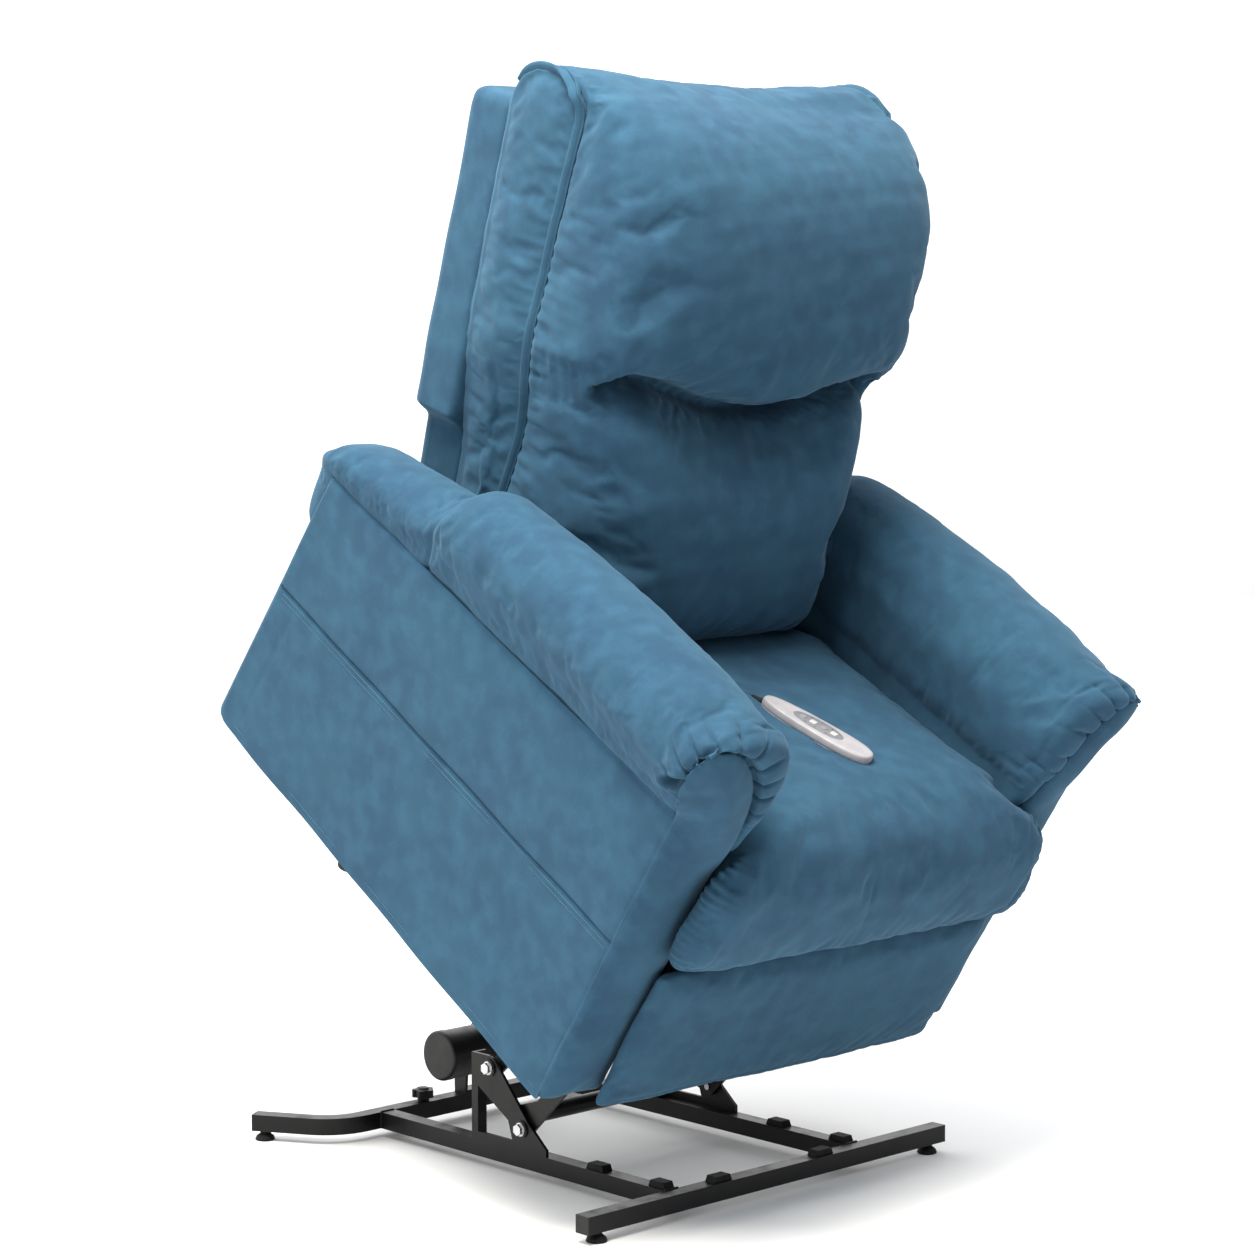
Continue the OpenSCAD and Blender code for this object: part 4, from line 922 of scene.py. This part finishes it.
def pleats(points, side, seed):
    """Gathered folds that run out from the arch and die away along the roll."""
    seam = front_seam(260)
    arch = seam[seam[:, 2] > 0.43] * (side, 1, 1)
    gap, along = near_line(points, arch, 0.09)
    rng = np.random.default_rng(seed)
    length, depth = rng.uniform(0.026, 0.052, 64), rng.uniform(0.65, 1.0, 64)
    bend = 0.22 * (gap / 0.045) ** 2
    turn = along / PLEAT_PITCH + 0.22 * wobble(along, 0.05, seed) + bend
    fold = turn - np.floor(turn)
    from_valley = np.minimum(fold, 1 - fold)
    index = np.round(turn).astype(int) % 64
    fade = np.exp(-(gap / length[index]) ** 3)
    # weaker low down on the inner side and beside the open tuck
    weak = smoothstep(along, 0.03, 0.12) * (1 - 0.8 * smoothstep(along, 0.335, 0.365))
    valley = np.exp(-(from_valley * PLEAT_PITCH / 0.0026) ** 2) * fade * depth[index] * weak
    puff = np.sin(fold ** 0.8 * math.pi) ** 0.8 * np.exp(-(gap / 0.042) ** 2) * smoothstep(gap, 0.002, 0.016)
    deep = bpy.context.scene.lift_chair_sizes.pleat * 1.35
    foot = foot_of_roll(points[:, 0]) + 0.03
    above = smoothstep(points[:, 2], foot, foot + 0.03) * (gap < 0.088)
    seam = np.exp(-(gap / 0.008) ** 2) * smoothstep(points[:, 2], 0.46, 0.51)
    return above * (0.0036 * puff * weak - deep * valley - 0.0065 * seam)


# open tuck at the outer foot of the roll: its middle, and its long way across the side
TUCK_AT = np.array([0.431, 0.0105, 0.5475])
TUCK_WAY = np.array([0.0, 0.794, -0.607])
TUCK_ACROSS = np.array([0.0, 0.607, 0.794])


def tuck(points, out, side):
    away = points * (side, 1, 1) - TUCK_AT
    p, q = away @ TUCK_WAY / 0.0210, away @ TUCK_ACROSS / 0.0070
    r = np.hypot(p, q)
    ball = np.exp(-((p + 0.42) ** 2 + q ** 2) / 0.18)
    outward = smoothstep(side * out[:, 0], 0.25, 0.60) * (np.abs(away[:, 0]) < 0.03)
    return outward * (-0.0230 * np.exp(-r ** 4) + 0.0100 * ball + 0.0030 * np.exp(-((r - 1.55) / 0.40) ** 2))


def make_arm_roll(name, side):
    sizes = bpy.context.scene.lift_chair_sizes
    rings = rim_rings(side)
    behind_cap = [0.562, 0.568, 0.574, 0.582, 0.60, 0.64, 0.70, 0.76, 0.80, 0.83, 0.848, 0.860, 0.866]
    depths = np.concatenate([np.linspace(0.05, 0.55, 21), behind_cap])
    for y in depths:
        ring = roll_section(y)
        rear = np.interp(y, [0.80, 0.83, 0.848, 0.860, 0.866], [0, 0.05, 0.16, 0.34, 0.55])
        centre = np.array([0.35, arm_top(y) - 0.02])
        ring = centre + (ring - centre) * (1 - rear)
        rings.append(at_depth(ring * (side, 1), y))
    points, faces = remeshed(*loft(rings), sizes.fine_voxel, smooth=2)
    _, y, z = points.T
    seam = np.array([[side * (ARM_OUT + 0.001), t, arm_top(t)] for t in np.linspace(-0.02, 0.86, 30)])
    cap = np.array([[side * a, CAP_SEAM_Y, b] for a, b in roll_section(CAP_SEAM_Y)[:64]])
    held = np.exp(-(near_line(points, seam)[0] / 0.016) ** 2)
    held += np.exp(-(near_line(points, cap)[0] / 0.008) ** 2)
    held += (z < arm_top(y) - 0.03) | (y < -0.02) | (y > 0.84)
    points = puffed(points, faces, np.clip(held, 0, 1), pressure=2.5, surplus=0.02, cap=0.006)
    points, faces = subdivided(points, faces)
    out = normals(points, faces)
    seed = 41 + (side > 0)
    shift = groove(points, seam, 0.0045, 0.0038) + groove(points, cap, 0.006, 0.004)
    shift += pleats(points, side, seed) + tuck(points, out, side)
    shift += 0.0016 * clouds(points, 0.055, seed + 1) + 0.0005 * clouds(points, 0.018, seed + 2)
    piece(f"arm_roll_{name}", points + out * shift[:, None], faces, CHAIR, micro_suede(), "chair", "suede",
          [f"arm_pad_{name}"], fill=0.75)


# section of the front panel from its rear to its crown: how far in from the seam, and how far behind it
PANEL_CROWN = [(0.050, 0.012), (0.030, 0.012), (0.012, 0.011), (0.004, 0.008), (0.0, 0.004), (0.0, -0.001),
               (0.0022, -0.0045), (0.006, -0.009), (0.012, -0.0135), (0.020, -0.018), (0.032, -0.022),
               (0.045, -0.0248), (0.056, -0.0258)]


def make_arm_front(name, side):
    seam = front_seam()
    outline = seam[:, [0, 2]]
    middle = np.column_stack([0.350 + 0.026 * smoothstep(outline[:, 1], 0.42, 0.56),
                              np.clip(outline[:, 1], 0.062, 0.555)])
    far = np.linalg.norm(middle - outline, axis=1)
    rings = []
    for inset, y in PANEL_CROWN:
        share = inset / np.maximum(far, 0.0585)
        ring = outline + (middle - outline) * share[:, None]
        upper = smoothstep(ring[:, 1], 0.39, 0.53)
        depth = seam[:, 1] * (1 - share) - 0.031 * upper * share + y * (1 - 0.5 * upper)
        rings.append(at_depth(ring * (side, 1), depth))
    upper = smoothstep(middle[:, 1], 0.39, 0.53)
    for level, rise in ((PANEL_CROWN[-1][1], 0.0181), (-0.012, 0.018)):
        rings.append(at_depth(middle * (side, 1), level - rise * upper))
    points, faces = remeshed(*loft(rings), bpy.context.scene.lift_chair_sizes.fine_voxel, smooth=2)
    points, faces = subdivided(points, faces)
    out = normals(points, faces)
    edge = (seam - (0, 0.007, 0)) * (side, 1, 1)
    shift = gathers(points, edge, 0.030, 0.016, 0.0010, 61 + (side > 0)) * (points[:, 1] < -0.006)
    shift += 0.0016 * clouds(points, 0.05, 71 + (side > 0))
    piece(f"arm_front_cover_{name}", points + out * shift[:, None], faces, CHAIR, micro_suede(), "chair",
          "suede", [f"arm_front_{name}"], fill=0.85)


SHEET_T = 0.008         # fabric and padding of the flat covers


def shell(rows, thickness):
    """Closed sheet of the given thickness behind a grid of points."""
    rows = np.asarray(rows)
    m, n = rows.shape[:2]
    points = rows.reshape(-1, 3)
    faces = grid_faces(m, n)
    inner = points - normals(points, faces) * thickness
    count = m * n
    rim = np.array([j for j in range(n)] + [i * n + n - 1 for i in range(1, m)]
                   + [(m - 1) * n + j for j in range(n - 2, -1, -1)] + [i * n for i in range(m - 2, 0, -1)])
    after = np.roll(rim, -1)
    sides = np.column_stack([rim, after, after + count, rim + count])
    return np.vstack([points, inner]), np.vstack([faces, faces[:, ::-1] + count, sides])


def side_rear(z):
    return SIDE_DEPTH + (SIDE_TOP_Y - SIDE_DEPTH) * z / SIDE_REAR_H


def make_side_cover(name, side):
    """Fabric over the outer side and round the rear of an arm, with its seams."""
    corner, bend = 0.018, 0.016
    across = np.concatenate([[0.0], np.linspace(0.004, 1, 150)])
    around = np.linspace(0, math.pi / 2, 7)[1:]
    up = np.unique(np.concatenate([np.linspace(0, 1, 84), np.linspace(0.54, 0.60, 22),
                                   np.linspace(0.97, 1, 8)]))
    rows = []
    for v in up:
        row = []
        z_rear = v * SIDE_REAR_H
        cut = corner - math.sqrt(max(corner ** 2 - max(corner - z_rear, 0) ** 2, 0))
        rear = side_rear(z_rear) - cut - bend
        for u in across:
            y = u * rear
            z = v * arm_top(y)
            row.append((ARM_OUT, y, z))
        for a in around:
            row.append((ARM_OUT - bend + bend * math.cos(a), rear + bend * math.sin(a), z_rear))
        for x in np.linspace(ARM_OUT - bend - 0.006, ARM_IN + 0.012, 14):
            row.append((x, rear + bend, z_rear))
        rows.append(row)
    rows = np.array(rows)
    x, y, z = rows[..., 0], rows[..., 1], rows[..., 2]
    flat = rows.reshape(-1, 3)
    seam_z = MID_SEAM_Z / SIDE_FRONT_H * arm_top(y)
    above, below = z - seam_z, seam_z - z
    outer = x > ARM_OUT - 0.001
    share = np.clip(np.where(above > 0, above / (arm_top(y) - seam_z), below / seam_z), 0, 1)
    arc = np.sin(share * math.pi)
    crown = np.where(above > 0, 0.0050 * arc ** 0.5, 0.0028 * arc ** 0.4)
    crown = crown * np.clip(y / 0.04, 0, 1) ** 0.5
    crown -= 0.0042 * np.exp(-((z - seam_z - 0.002) / 0.0030) ** 2)
    for row_z in (0.0035, 0.0115):
        crown -= 0.0012 * np.exp(-((below - row_z) / 0.0018) ** 2)
    crown -= 0.0014 * np.exp(-((z - 0.014) / 0.0022) ** 2)
    crown -= 0.0034 * np.exp(-((arm_top(y) - z) / 0.005) ** 2)
    crown -= 0.0012 * np.exp(-(y / 0.0030) ** 2)
    crown -= 0.0008 * np.exp(-((y - side_rear(z) + 0.060) / 0.002) ** 2) * (below > 0)
    crown += 0.0012 * clouds(flat, 0.07, 91 + (side > 0)).reshape(x.shape)
    rows[..., 0] += np.where(outer, crown, 0)
    rows[..., 1] += np.where(outer, 0, 0.4 * crown * (x < ARM_OUT - 0.01))
    rows[..., 0] *= side
    points, faces = shell(rows if side > 0 else rows[:, ::-1], SHEET_T)
    piece(f"side_cover_{name}", points, faces, CHAIR, micro_suede(), "chair", "suede", [f"arm_outer_{name}"],
          fill=0.95)
    make_side_stitches(name, side)


def stitch_row(line, length, radius):
    """Short thread stitches laid end to end along a line."""
    run = np.concatenate([[0], np.cumsum(np.linalg.norm(np.diff(line, axis=0), axis=1))])
    count = int(run[-1] / length)
    parts = []
    for k in range(count):
        at = np.linspace(k + 0.12, k + 0.88, 4) * run[-1] / count
        part = np.column_stack([np.interp(at, run, line[:, i]) for i in range(3)])
        parts.append(tube(part, [radius * 0.5, radius, radius, radius * 0.5], 6))
    return joined(parts)


def make_side_stitches(name, side):
    sizes = bpy.context.scene.lift_chair_sizes
    rows = []
    for gap in (0.0035, 0.0115):
        y = np.linspace(0.008, 0.81, 120)
        z = MID_SEAM_Z / SIDE_FRONT_H * arm_top(y) - gap
        rows.append(np.column_stack([np.full(len(y), side * (ARM_OUT + 0.0014)), y, z]))
    y = np.linspace(0.008, 0.80, 120)
    rows.append(np.column_stack([np.full(len(y), side * (ARM_OUT + 0.0010)), y, np.full(len(y), 0.014)]))
    points, faces = joined([stitch_row(r, sizes.stitch, sizes.thread) for r in rows])
    piece(f"side_stitching_{name}", points, faces, CHAIR, sewing_thread(), "chair", "suede")


def sewing_thread():
    """Bonded polyester thread a shade lighter than the suede, with a slight gloss."""
    material, tree, shader = finish_named("bonded_thread_blue")
    if tree is None:
        return material
    twist = noise_at(tree, 0.0008, 1, 0.5)
    tree.links.new(mixed(tree, twist, rgba(linear("335a72")), rgba(linear("416c86"))),
                   shader.inputs["Base Color"])
    set_inputs(shader, Roughness=0.55)
    return material


def make_inner_sides():
    """Fabric down the inside of each arm to the seat, one piece for each arm."""
    for name, side in SIDES.items():
        rows = []
        for v in np.linspace(0, 1, 60):
            row = []
            for y in np.linspace(0.002, SIDE_TOP_Y - 0.010, 90):
                z = 0.004 + v * (arm_top(y) - 0.010)
                swell = 0.006 * math.sin(math.pi * min(max((z - 0.18) / 0.32, 0), 1))
                row.append((side * (ARM_IN - swell), y, z))
            rows.append(row)
        rows = np.array(rows)
        shift = 0.0015 * clouds(rows.reshape(-1, 3), 0.07, 101 + (side > 0)).reshape(rows.shape[:2])
        rows[..., 0] -= side * shift
        points, faces = shell(rows if side < 0 else rows[:, ::-1], SHEET_T)
        nodes = ["arm_inner_panels"] if side < 0 else []
        piece(f"arm_inner_cover_{name}", points, faces, CHAIR, micro_suede(), "chair", "suede", nodes)


# ---- seat ----
SEAT_HALF = 0.282       # half width between the arms
FRONT_HALF = 0.340      # half width of the rounded front, before the arms
SEAT_LOW = 0.252        # underside of the rounded front
SEAT_BED = 0.336        # underside on the springs


def squared_oval(count, a, b, power):
    t = 2 * math.pi * (np.arange(count) + 0.5) / count
    flat = np.column_stack([np.cos(t), np.sin(t)])
    return (a, b) * np.sign(flat) * np.abs(flat) ** (2 / power)


def make_seat():
    sizes = bpy.context.scene.lift_chair_sizes
    stations = [  # depth, half width, bottom, drop of the top below the seat plane
        (-0.080, 0.285, 0.306, 0.080), (-0.079, 0.305, 0.290, 0.062), (-0.075, 0.320, 0.274, 0.046),
        (-0.067, 0.331, 0.262, 0.032), (-0.058, 0.337, 0.255, 0.022), (-0.049, FRONT_HALF, SEAT_LOW, 0.015),
        (-0.041, FRONT_HALF, SEAT_LOW, 0.011), (-0.036, 0.334, SEAT_LOW, 0.009),
        (-0.032, 0.300, SEAT_LOW, 0.008), (-0.028, SEAT_HALF, SEAT_LOW, 0.008),
        (0.0, SEAT_HALF, SEAT_LOW, 0.003), (0.014, SEAT_HALF, 0.254, 0.001),
        (0.020, SEAT_HALF, 0.334, 0.0), (0.060, SEAT_HALF, SEAT_BED, -0.002),
        (0.230, SEAT_HALF, SEAT_BED, -0.003), (0.400, SEAT_HALF, SEAT_BED, 0.0),
        (0.430, SEAT_HALF - 0.002, SEAT_BED, 0.006), (0.480, SEAT_HALF - 0.006, SEAT_BED, 0.016),
        (0.548, SEAT_HALF - 0.016, 0.338, 0.034)]
    rings = []
    for y, half, low, drop in stations:
        top = seat_top(y) - drop
        power = np.interp(y, [-0.036, -0.028], [3.4, 6])
        oval = squared_oval(96, half, (top - low) / 2, power)
        lower = squared_oval(96, half + 0.010 * (y < -0.034), (top - low) / 2, 7.0)
        oval = np.where(oval[:, 1:] < 0, lower, oval)
        rings.append(at_depth(oval + (0, (top + low) / 2), y))
    points, faces = remeshed(*loft(rings), sizes.voxel, smooth=2)
    x, y, z = points.T
    low_edge = z < 0.268
    beside = (np.abs(x) > SEAT_HALF - 0.004) & (y > -0.03)
    held = (low_edge | beside | (y > 0.50) | ((z < 0.345) & (y > -0.02))).astype(float)
    held = np.maximum(held, np.exp(-((np.abs(x) - FRONT_HALF) / 0.010) ** 2) * (y < -0.02))
    points = puffed(points, faces, held, pressure=3.0, surplus=0.03, cap=0.010)
    points, faces = subdivided(points, faces)
    out = normals(points, faces)
    shift = 0.0018 * clouds(points, 0.06, 121) + 0.0008 * clouds(points, 0.025, 123)
    for side in (-1, 1):
        edge = smooth_line([(side * 0.336, -0.050, 0.262), (side * 0.345, -0.050, 0.310),
                            (side * 0.341, -0.049, 0.360), (side * 0.333, -0.046, 0.402),
                            (side * 0.314, -0.038, 0.432), (side * 0.290, -0.014, 0.458)], 44)
        shift += gathers(points, edge, 0.0125, 0.026, 0.0038, 131 + side)
        seam = edge - [side * 0.014, 0.018, 0]
        shift += groove(points, seam, 0.0030, 0.0014)
    foot = np.linspace((-0.33, -0.066, 0.262), (0.33, -0.066, 0.262), 50)
    shift += gathers(points, foot, 0.045, 0.030, 0.0016, 141)
    piece("seat_cover", points + out * shift[:, None], faces, CHAIR, micro_suede(), "chair", "suede",
          ["seat_cushion"], fill=0.75)


def make_rear_panel():
    rows = []
    for v in np.linspace(0, 1, 30):
        z = 0.030 + 0.216 * v
        rows.append([(x, 0.826 + 0.002 * math.cos(3 * x), z) for x in np.linspace(-0.287, 0.287, 70)])
    rows = np.array(rows)
    rows[..., 1] += 0.0010 * clouds(rows.reshape(-1, 3), 0.06, 151).reshape(rows.shape[:2])
    points, faces = shell(rows[:, ::-1], 0.010)
    piece("rear_lower_cover", points, faces, CHAIR, micro_suede(), "chair", "suede", ["rear_panel"])


# ---- footrest ----
def make_footrest():
    half, low, high = 0.337, 0.002, 0.247
    rings = []
    for y, inset in ((-0.0125, 0.036), (-0.028, 0.034), (-0.030, 0.006), (-0.034, 0.001), (-0.040, 0.0),
                     (-0.046, 0.003), (-0.050, 0.009), (-0.053, 0.022), (-0.054, 0.045)):
        a, b = half - inset, (high - low) / 2 - min(inset, 0.05)
        oval = squared_oval(160, a, b, 30)
        rings.append(at_depth(oval + (0, (high + low) / 2), y))
    points, faces = remeshed(*loft(rings), 0.0055, smooth=1)
    _, y, z = points.T
    held = (y > -0.034).astype(float)
    held = np.maximum(held, np.exp(-((z - 0.018) / 0.006) ** 2))
    points = puffed(points, faces, held, pressure=1.6, surplus=0.012, cap=0.006)
    points, faces = subdivided(points, faces)
    out = normals(points, faces)
    y = points[:, 1]
    shift = 0.0016 * clouds(points, 0.07, 161)
    hem = np.linspace((-0.31, -0.050, 0.019), (0.31, -0.050, 0.019), 40)
    shift += groove(points, hem, 0.0026, 0.0014) * (y < -0.03)
    piece("footrest_cover", points + out * shift[:, None], faces, CHAIR, micro_suede(), "footrest", "suede",
          ["footrest_pad"], fill=0.8)


# ---- handset ----
HANDSET_L = 0.181
HANDSET_W = 0.050
HANDSET_H = 0.024
HANDSET_TAPER = 0.16    # narrower at its far end
KEY_FIRST = 0.026
KEY_PITCH = 0.0174
KEY_R = 0.0054
KEYPAD_HALF = 0.0165
KEYPAD_LONG = KEY_PITCH * 2.35


def handset_ring(inset, z, count=96):
    oval = squared_oval(count, HANDSET_W / 2 - inset, HANDSET_L / 2 - inset, 2.7)
    x = oval[:, 0] * (1 - HANDSET_TAPER * oval[:, 1] / (HANDSET_L / 2))
    return at_height(np.column_stack([x, oval[:, 1]]), z)


def key_y(i):
    return KEY_FIRST - i * KEY_PITCH


def make_handset():
    casing = moulded_plastic("abs_casing_white", bpy.context.scene.lift_chair_colours.casing, 0.30)
    half = HANDSET_H / 2
    # inset and height of each ring, the upper shell's heights from the parting line
    lower = ((0.0060, 0.0), (0.0036, 0.0002), (0.0016, 0.0010), (0.0005, 0.0024), (0.0, 0.0050),
             (0.0, 0.0090), (0.0, half - 0.0004), (0.0003, half - 0.0001))
    upper = ((0.0003, 0.0001), (0.0, 0.0004), (0.0, 0.004), (0.0002, 0.0085), (0.0008, 0.0104),
             (0.0020, 0.0115), (0.0040, 0.0120), (0.0080, 0.0121), (0.0130, 0.0120), (0.0180, 0.0120),
             (0.0220, 0.0120))
    for name, shape, start in (("lower", lower, 0), ("upper", upper, half)):
        rings = [handset_ring(inset, start + z) for inset, z in shape]
        piece(f"handset_shell_{name}", *loft(rings), HANDSET, casing, "chair", "handset_white",
              [f"handset_{name}_case"])
    film = []
    for t, z in ((0.0, HANDSET_H - 0.0004), (0.0, HANDSET_H + 0.0003), (0.0006, HANDSET_H + 0.0005)):
        oval = squared_oval(80, KEYPAD_HALF - t, KEYPAD_LONG - t, 2.2)
        film.append(at_height(oval + (0, key_y(1.5)), z))
    grey = moulded_plastic("keypad_film_grey", bpy.context.scene.lift_chair_colours.keypad, 0.45)
    piece("handset_keypad_film", *loft(film), HANDSET, grey, "chair", "keypad_grey", ["handset_keypad"])
    for name, index, power, top in (("key_recline", 0, 2, "7e8186"), ("key_raise", 1, 4.5, "a9a9ac"),
                                    ("key_upright", 2, 2, "777a80"), ("key_lower", 3, 4.5, "a9a9ac")):
        rings = []
        for inset, z in ((0.0, -0.0030), (0.0, 0.0008), (0.0003, 0.0013), (0.0009, 0.0016), (0.0022, 0.0017),
                         (0.0040, 0.00165)):
            oval = squared_oval(48, KEY_R - inset, KEY_R - inset, power)
            rings.append(at_height(oval + (0, key_y(index)), HANDSET_H + z))
        rubber = moulded_plastic(f"silicone_{name}", linear(top), 0.5)
        piece(f"{name}_cap", *loft(rings), HANDSET, rubber, name, "key_white", [name])
    make_handset_marks()


def make_handset_marks():
    """Small plain triangles printed beside the keys, pointing up or down."""
    parts = []
    for index, way in ((0.5, 1), (1.5, -1), (2.5, 1)):
        for x in (-0.0108, 0.0108):
            y = key_y(index)
            tip = np.array([[x - 0.0016, y - way * 0.0014], [x + 0.0016, y - way * 0.0014],
                            [x, y + way * 0.0016]])
            parts.append(loft([at_height(tip, HANDSET_H + z) for z in (0.0003, 0.0007)]))
    ink = moulded_plastic("printed_ink_grey", linear("3c3f44"), 0.5)
    piece("handset_marks", *joined(parts), HANDSET, ink, "chair", "keypad_grey")


# ---- base and mechanism ----
RAIL_X = 0.1853         # middle of a side rail
BAR = 0.0254            # square tube
DECK = 0.0404           # top of the tubes
REAR_Y = 0.6484         # front face of the rear bar


def make_welds():
    """Fillet beads where the rails meet the bars, rippled as a hand torch leaves them."""
    sizes = bpy.context.scene.lift_chair_sizes
    half = BAR / 2
    lines = []
    for side in (-1, 1):
        for y in (BAR, REAR_Y):
            x0, x1 = side * RAIL_X - half, side * RAIL_X + half
            lines.append([(x0, y, DECK), (x1, y, DECK)])
            lines.append([(x0, y, 0.016), (x0, y, DECK - 0.001)])
            lines.append([(x1, y, 0.016), (x1, y, DECK - 0.001)])
    parts = []
    for a, b in lines:
        a, b = np.array(a), np.array(b)
        count = 40
        t = np.linspace(0.02, 0.98, count)[:, None]
        ripple = sizes.weld * (0.86 + 0.14 * np.abs(np.sin(np.linspace(0, 9 * math.pi, count))))
        parts.append(tube(a + (b - a) * t, ripple, 8))
    piece("base_weld_beads", *joined(parts), BASE, powder_coat(), "base", "powder_coat")


def finish_metalwork():
    black = powder_coat()
    plastic = moulded_plastic("polypropylene_black", linear("0b0b0c"), 0.42)
    rubber = moulded_plastic("rubber_black_matt", linear("0f0f10"), 0.78, 0.002, 0.0002)
    finish(["base_front_bar", "base_rear_bar", "base_rail_left", "base_rail_right", "upright_left",
            "upright_right", "actuator_bracket", "lower_link_left", "lower_link_right", "torque_tube",
            "mech_plates", "drive_tube", "cross_members", "back_brackets"], black)
    finish(["base_end_plugs", "star_knob", "base_pivot_bushes", "side_glides", "control_box",
            "actuator_gearbox", "actuator_tube"], plastic)
    finish(["base_feet", "rail_pads", "handset_strain_relief"], rubber)
    finish(["base_pivot_bolts", "mech_pivot_bolts"],
           plated_metal("zinc_plate_bright", "c3c5c8", 0.26, 0.0012))
    finish(["upper_link_left", "upper_link_right", "footrest_lower_links", "footrest_upper_links",
            "footrest_rear_links"], plated_metal("zinc_plate_grey", "8f9296", 0.38, 0.0015))
    finish(["actuator_rod", "actuator_screw"],
           plated_metal("ground_steel_chromed", "c9ccd0", 0.14, 0.001, 0.06))
    finish(["seat_springs"], plated_metal("spring_steel_oiled", "6d6f73", 0.34, 0.0012))
    motor = moulded_plastic("motor_enamel_black", linear("0e0e10"), 0.36, 0.0013)
    finish(["motor_housing", "motor_cap"], motor)
    finish(["seat_frame", "arm_frames", "back_frame", "footrest_board"], stained_and_shaded_wood())


# ---- operators ----
class LIFTCHAIR_OT_stage(bpy.types.Operator):
    """Camera, pale floor and soft studio light"""
    bl_idname = "liftchair.stage"
    bl_label = "Studio stage"

    def execute(self, context):
        make_camera()
        make_stage()
        return {"FINISHED"}


class LIFTCHAIR_OT_cord(bpy.types.Operator):
    """Cord of the handset over the seat"""
    bl_idname = "liftchair.cord"
    bl_label = "Handset cord"

    def execute(self, context):
        make_cord()
        return {"FINISHED"}


class LIFTCHAIR_OT_metalwork(bpy.types.Operator):
    """Finishes of the base, lift mechanism and frames, and the weld beads"""
    bl_idname = "liftchair.metalwork"
    bl_label = "Base and mechanism"

    def execute(self, context):
        finish_metalwork()
        make_welds()
        return {"FINISHED"}


class LIFTCHAIR_OT_back(bpy.types.Operator):
    """Back cushion with its head pillow, lumbar roll and welts, and the outer back"""
    bl_idname = "liftchair.back"
    bl_label = "Backrest"

    def execute(self, context):
        make_back_cushion()
        make_back_cover()
        return {"FINISHED"}


class LIFTCHAIR_OT_arms(bpy.types.Operator):
    """Arm rolls with their pleats, front panels, side covers and inner sides"""
    bl_idname = "liftchair.arms"
    bl_label = "Arms"

    def execute(self, context):
        for name, side in SIDES.items():
            make_arm_roll(name, side)
            make_arm_front(name, side)
            make_side_cover(name, side)
        make_inner_sides()
        return {"FINISHED"}


class LIFTCHAIR_OT_seat(bpy.types.Operator):
    """Seat cushion with its rounded front, and the lower rear cover"""
    bl_idname = "liftchair.seat"
    bl_label = "Seat"

    def execute(self, context):
        make_seat()
        make_rear_panel()
        return {"FINISHED"}


class LIFTCHAIR_OT_footrest(bpy.types.Operator):
    """Padded front of the footrest"""
    bl_idname = "liftchair.footrest"
    bl_label = "Footrest"

    def execute(self, context):
        make_footrest()
        return {"FINISHED"}


class LIFTCHAIR_OT_handset(bpy.types.Operator):
    """Handset shells, keypad film, keys and marks"""
    bl_idname = "liftchair.handset"
    bl_label = "Handset"

    def execute(self, context):
        make_handset()
        return {"FINISHED"}


STEPS = (LIFTCHAIR_OT_stage, LIFTCHAIR_OT_cord, LIFTCHAIR_OT_metalwork, LIFTCHAIR_OT_back,
         LIFTCHAIR_OT_arms, LIFTCHAIR_OT_seat, LIFTCHAIR_OT_footrest, LIFTCHAIR_OT_handset)


class LIFTCHAIR_PT_panel(bpy.types.Panel):
    """Sizes, colours and building steps of the lift chair"""
    bl_idname = "LIFTCHAIR_PT_panel"
    bl_label = "Lift chair"
    bl_space_type = "VIEW_3D"
    bl_region_type = "UI"
    bl_category = "Lift chair"

    def draw(self, context):
        for group in (context.scene.lift_chair_sizes, context.scene.lift_chair_colours):
            for key in group.bl_rna.properties.keys():
                if key not in ("rna_type", "name"):
                    self.layout.prop(group, key)
        for step in STEPS:
            self.layout.operator(step.bl_idname)


CLASSES = (LiftChairSizes, LiftChairColours, *STEPS, LIFTCHAIR_PT_panel)


def register():
    for cls in CLASSES:
        bpy.utils.register_class(cls)
    bpy.types.Scene.lift_chair_sizes = bpy.props.PointerProperty(type=LiftChairSizes)
    bpy.types.Scene.lift_chair_colours = bpy.props.PointerProperty(type=LiftChairColours)


def unregister():
    del bpy.types.Scene.lift_chair_sizes
    del bpy.types.Scene.lift_chair_colours
    for cls in reversed(CLASSES):
        bpy.utils.unregister_class(cls)


def main():
    register()
    for step in STEPS:
        module, call = step.bl_idname.split(".")
        getattr(getattr(bpy.ops, module), call)()


if __name__ == "__main__":
    main()
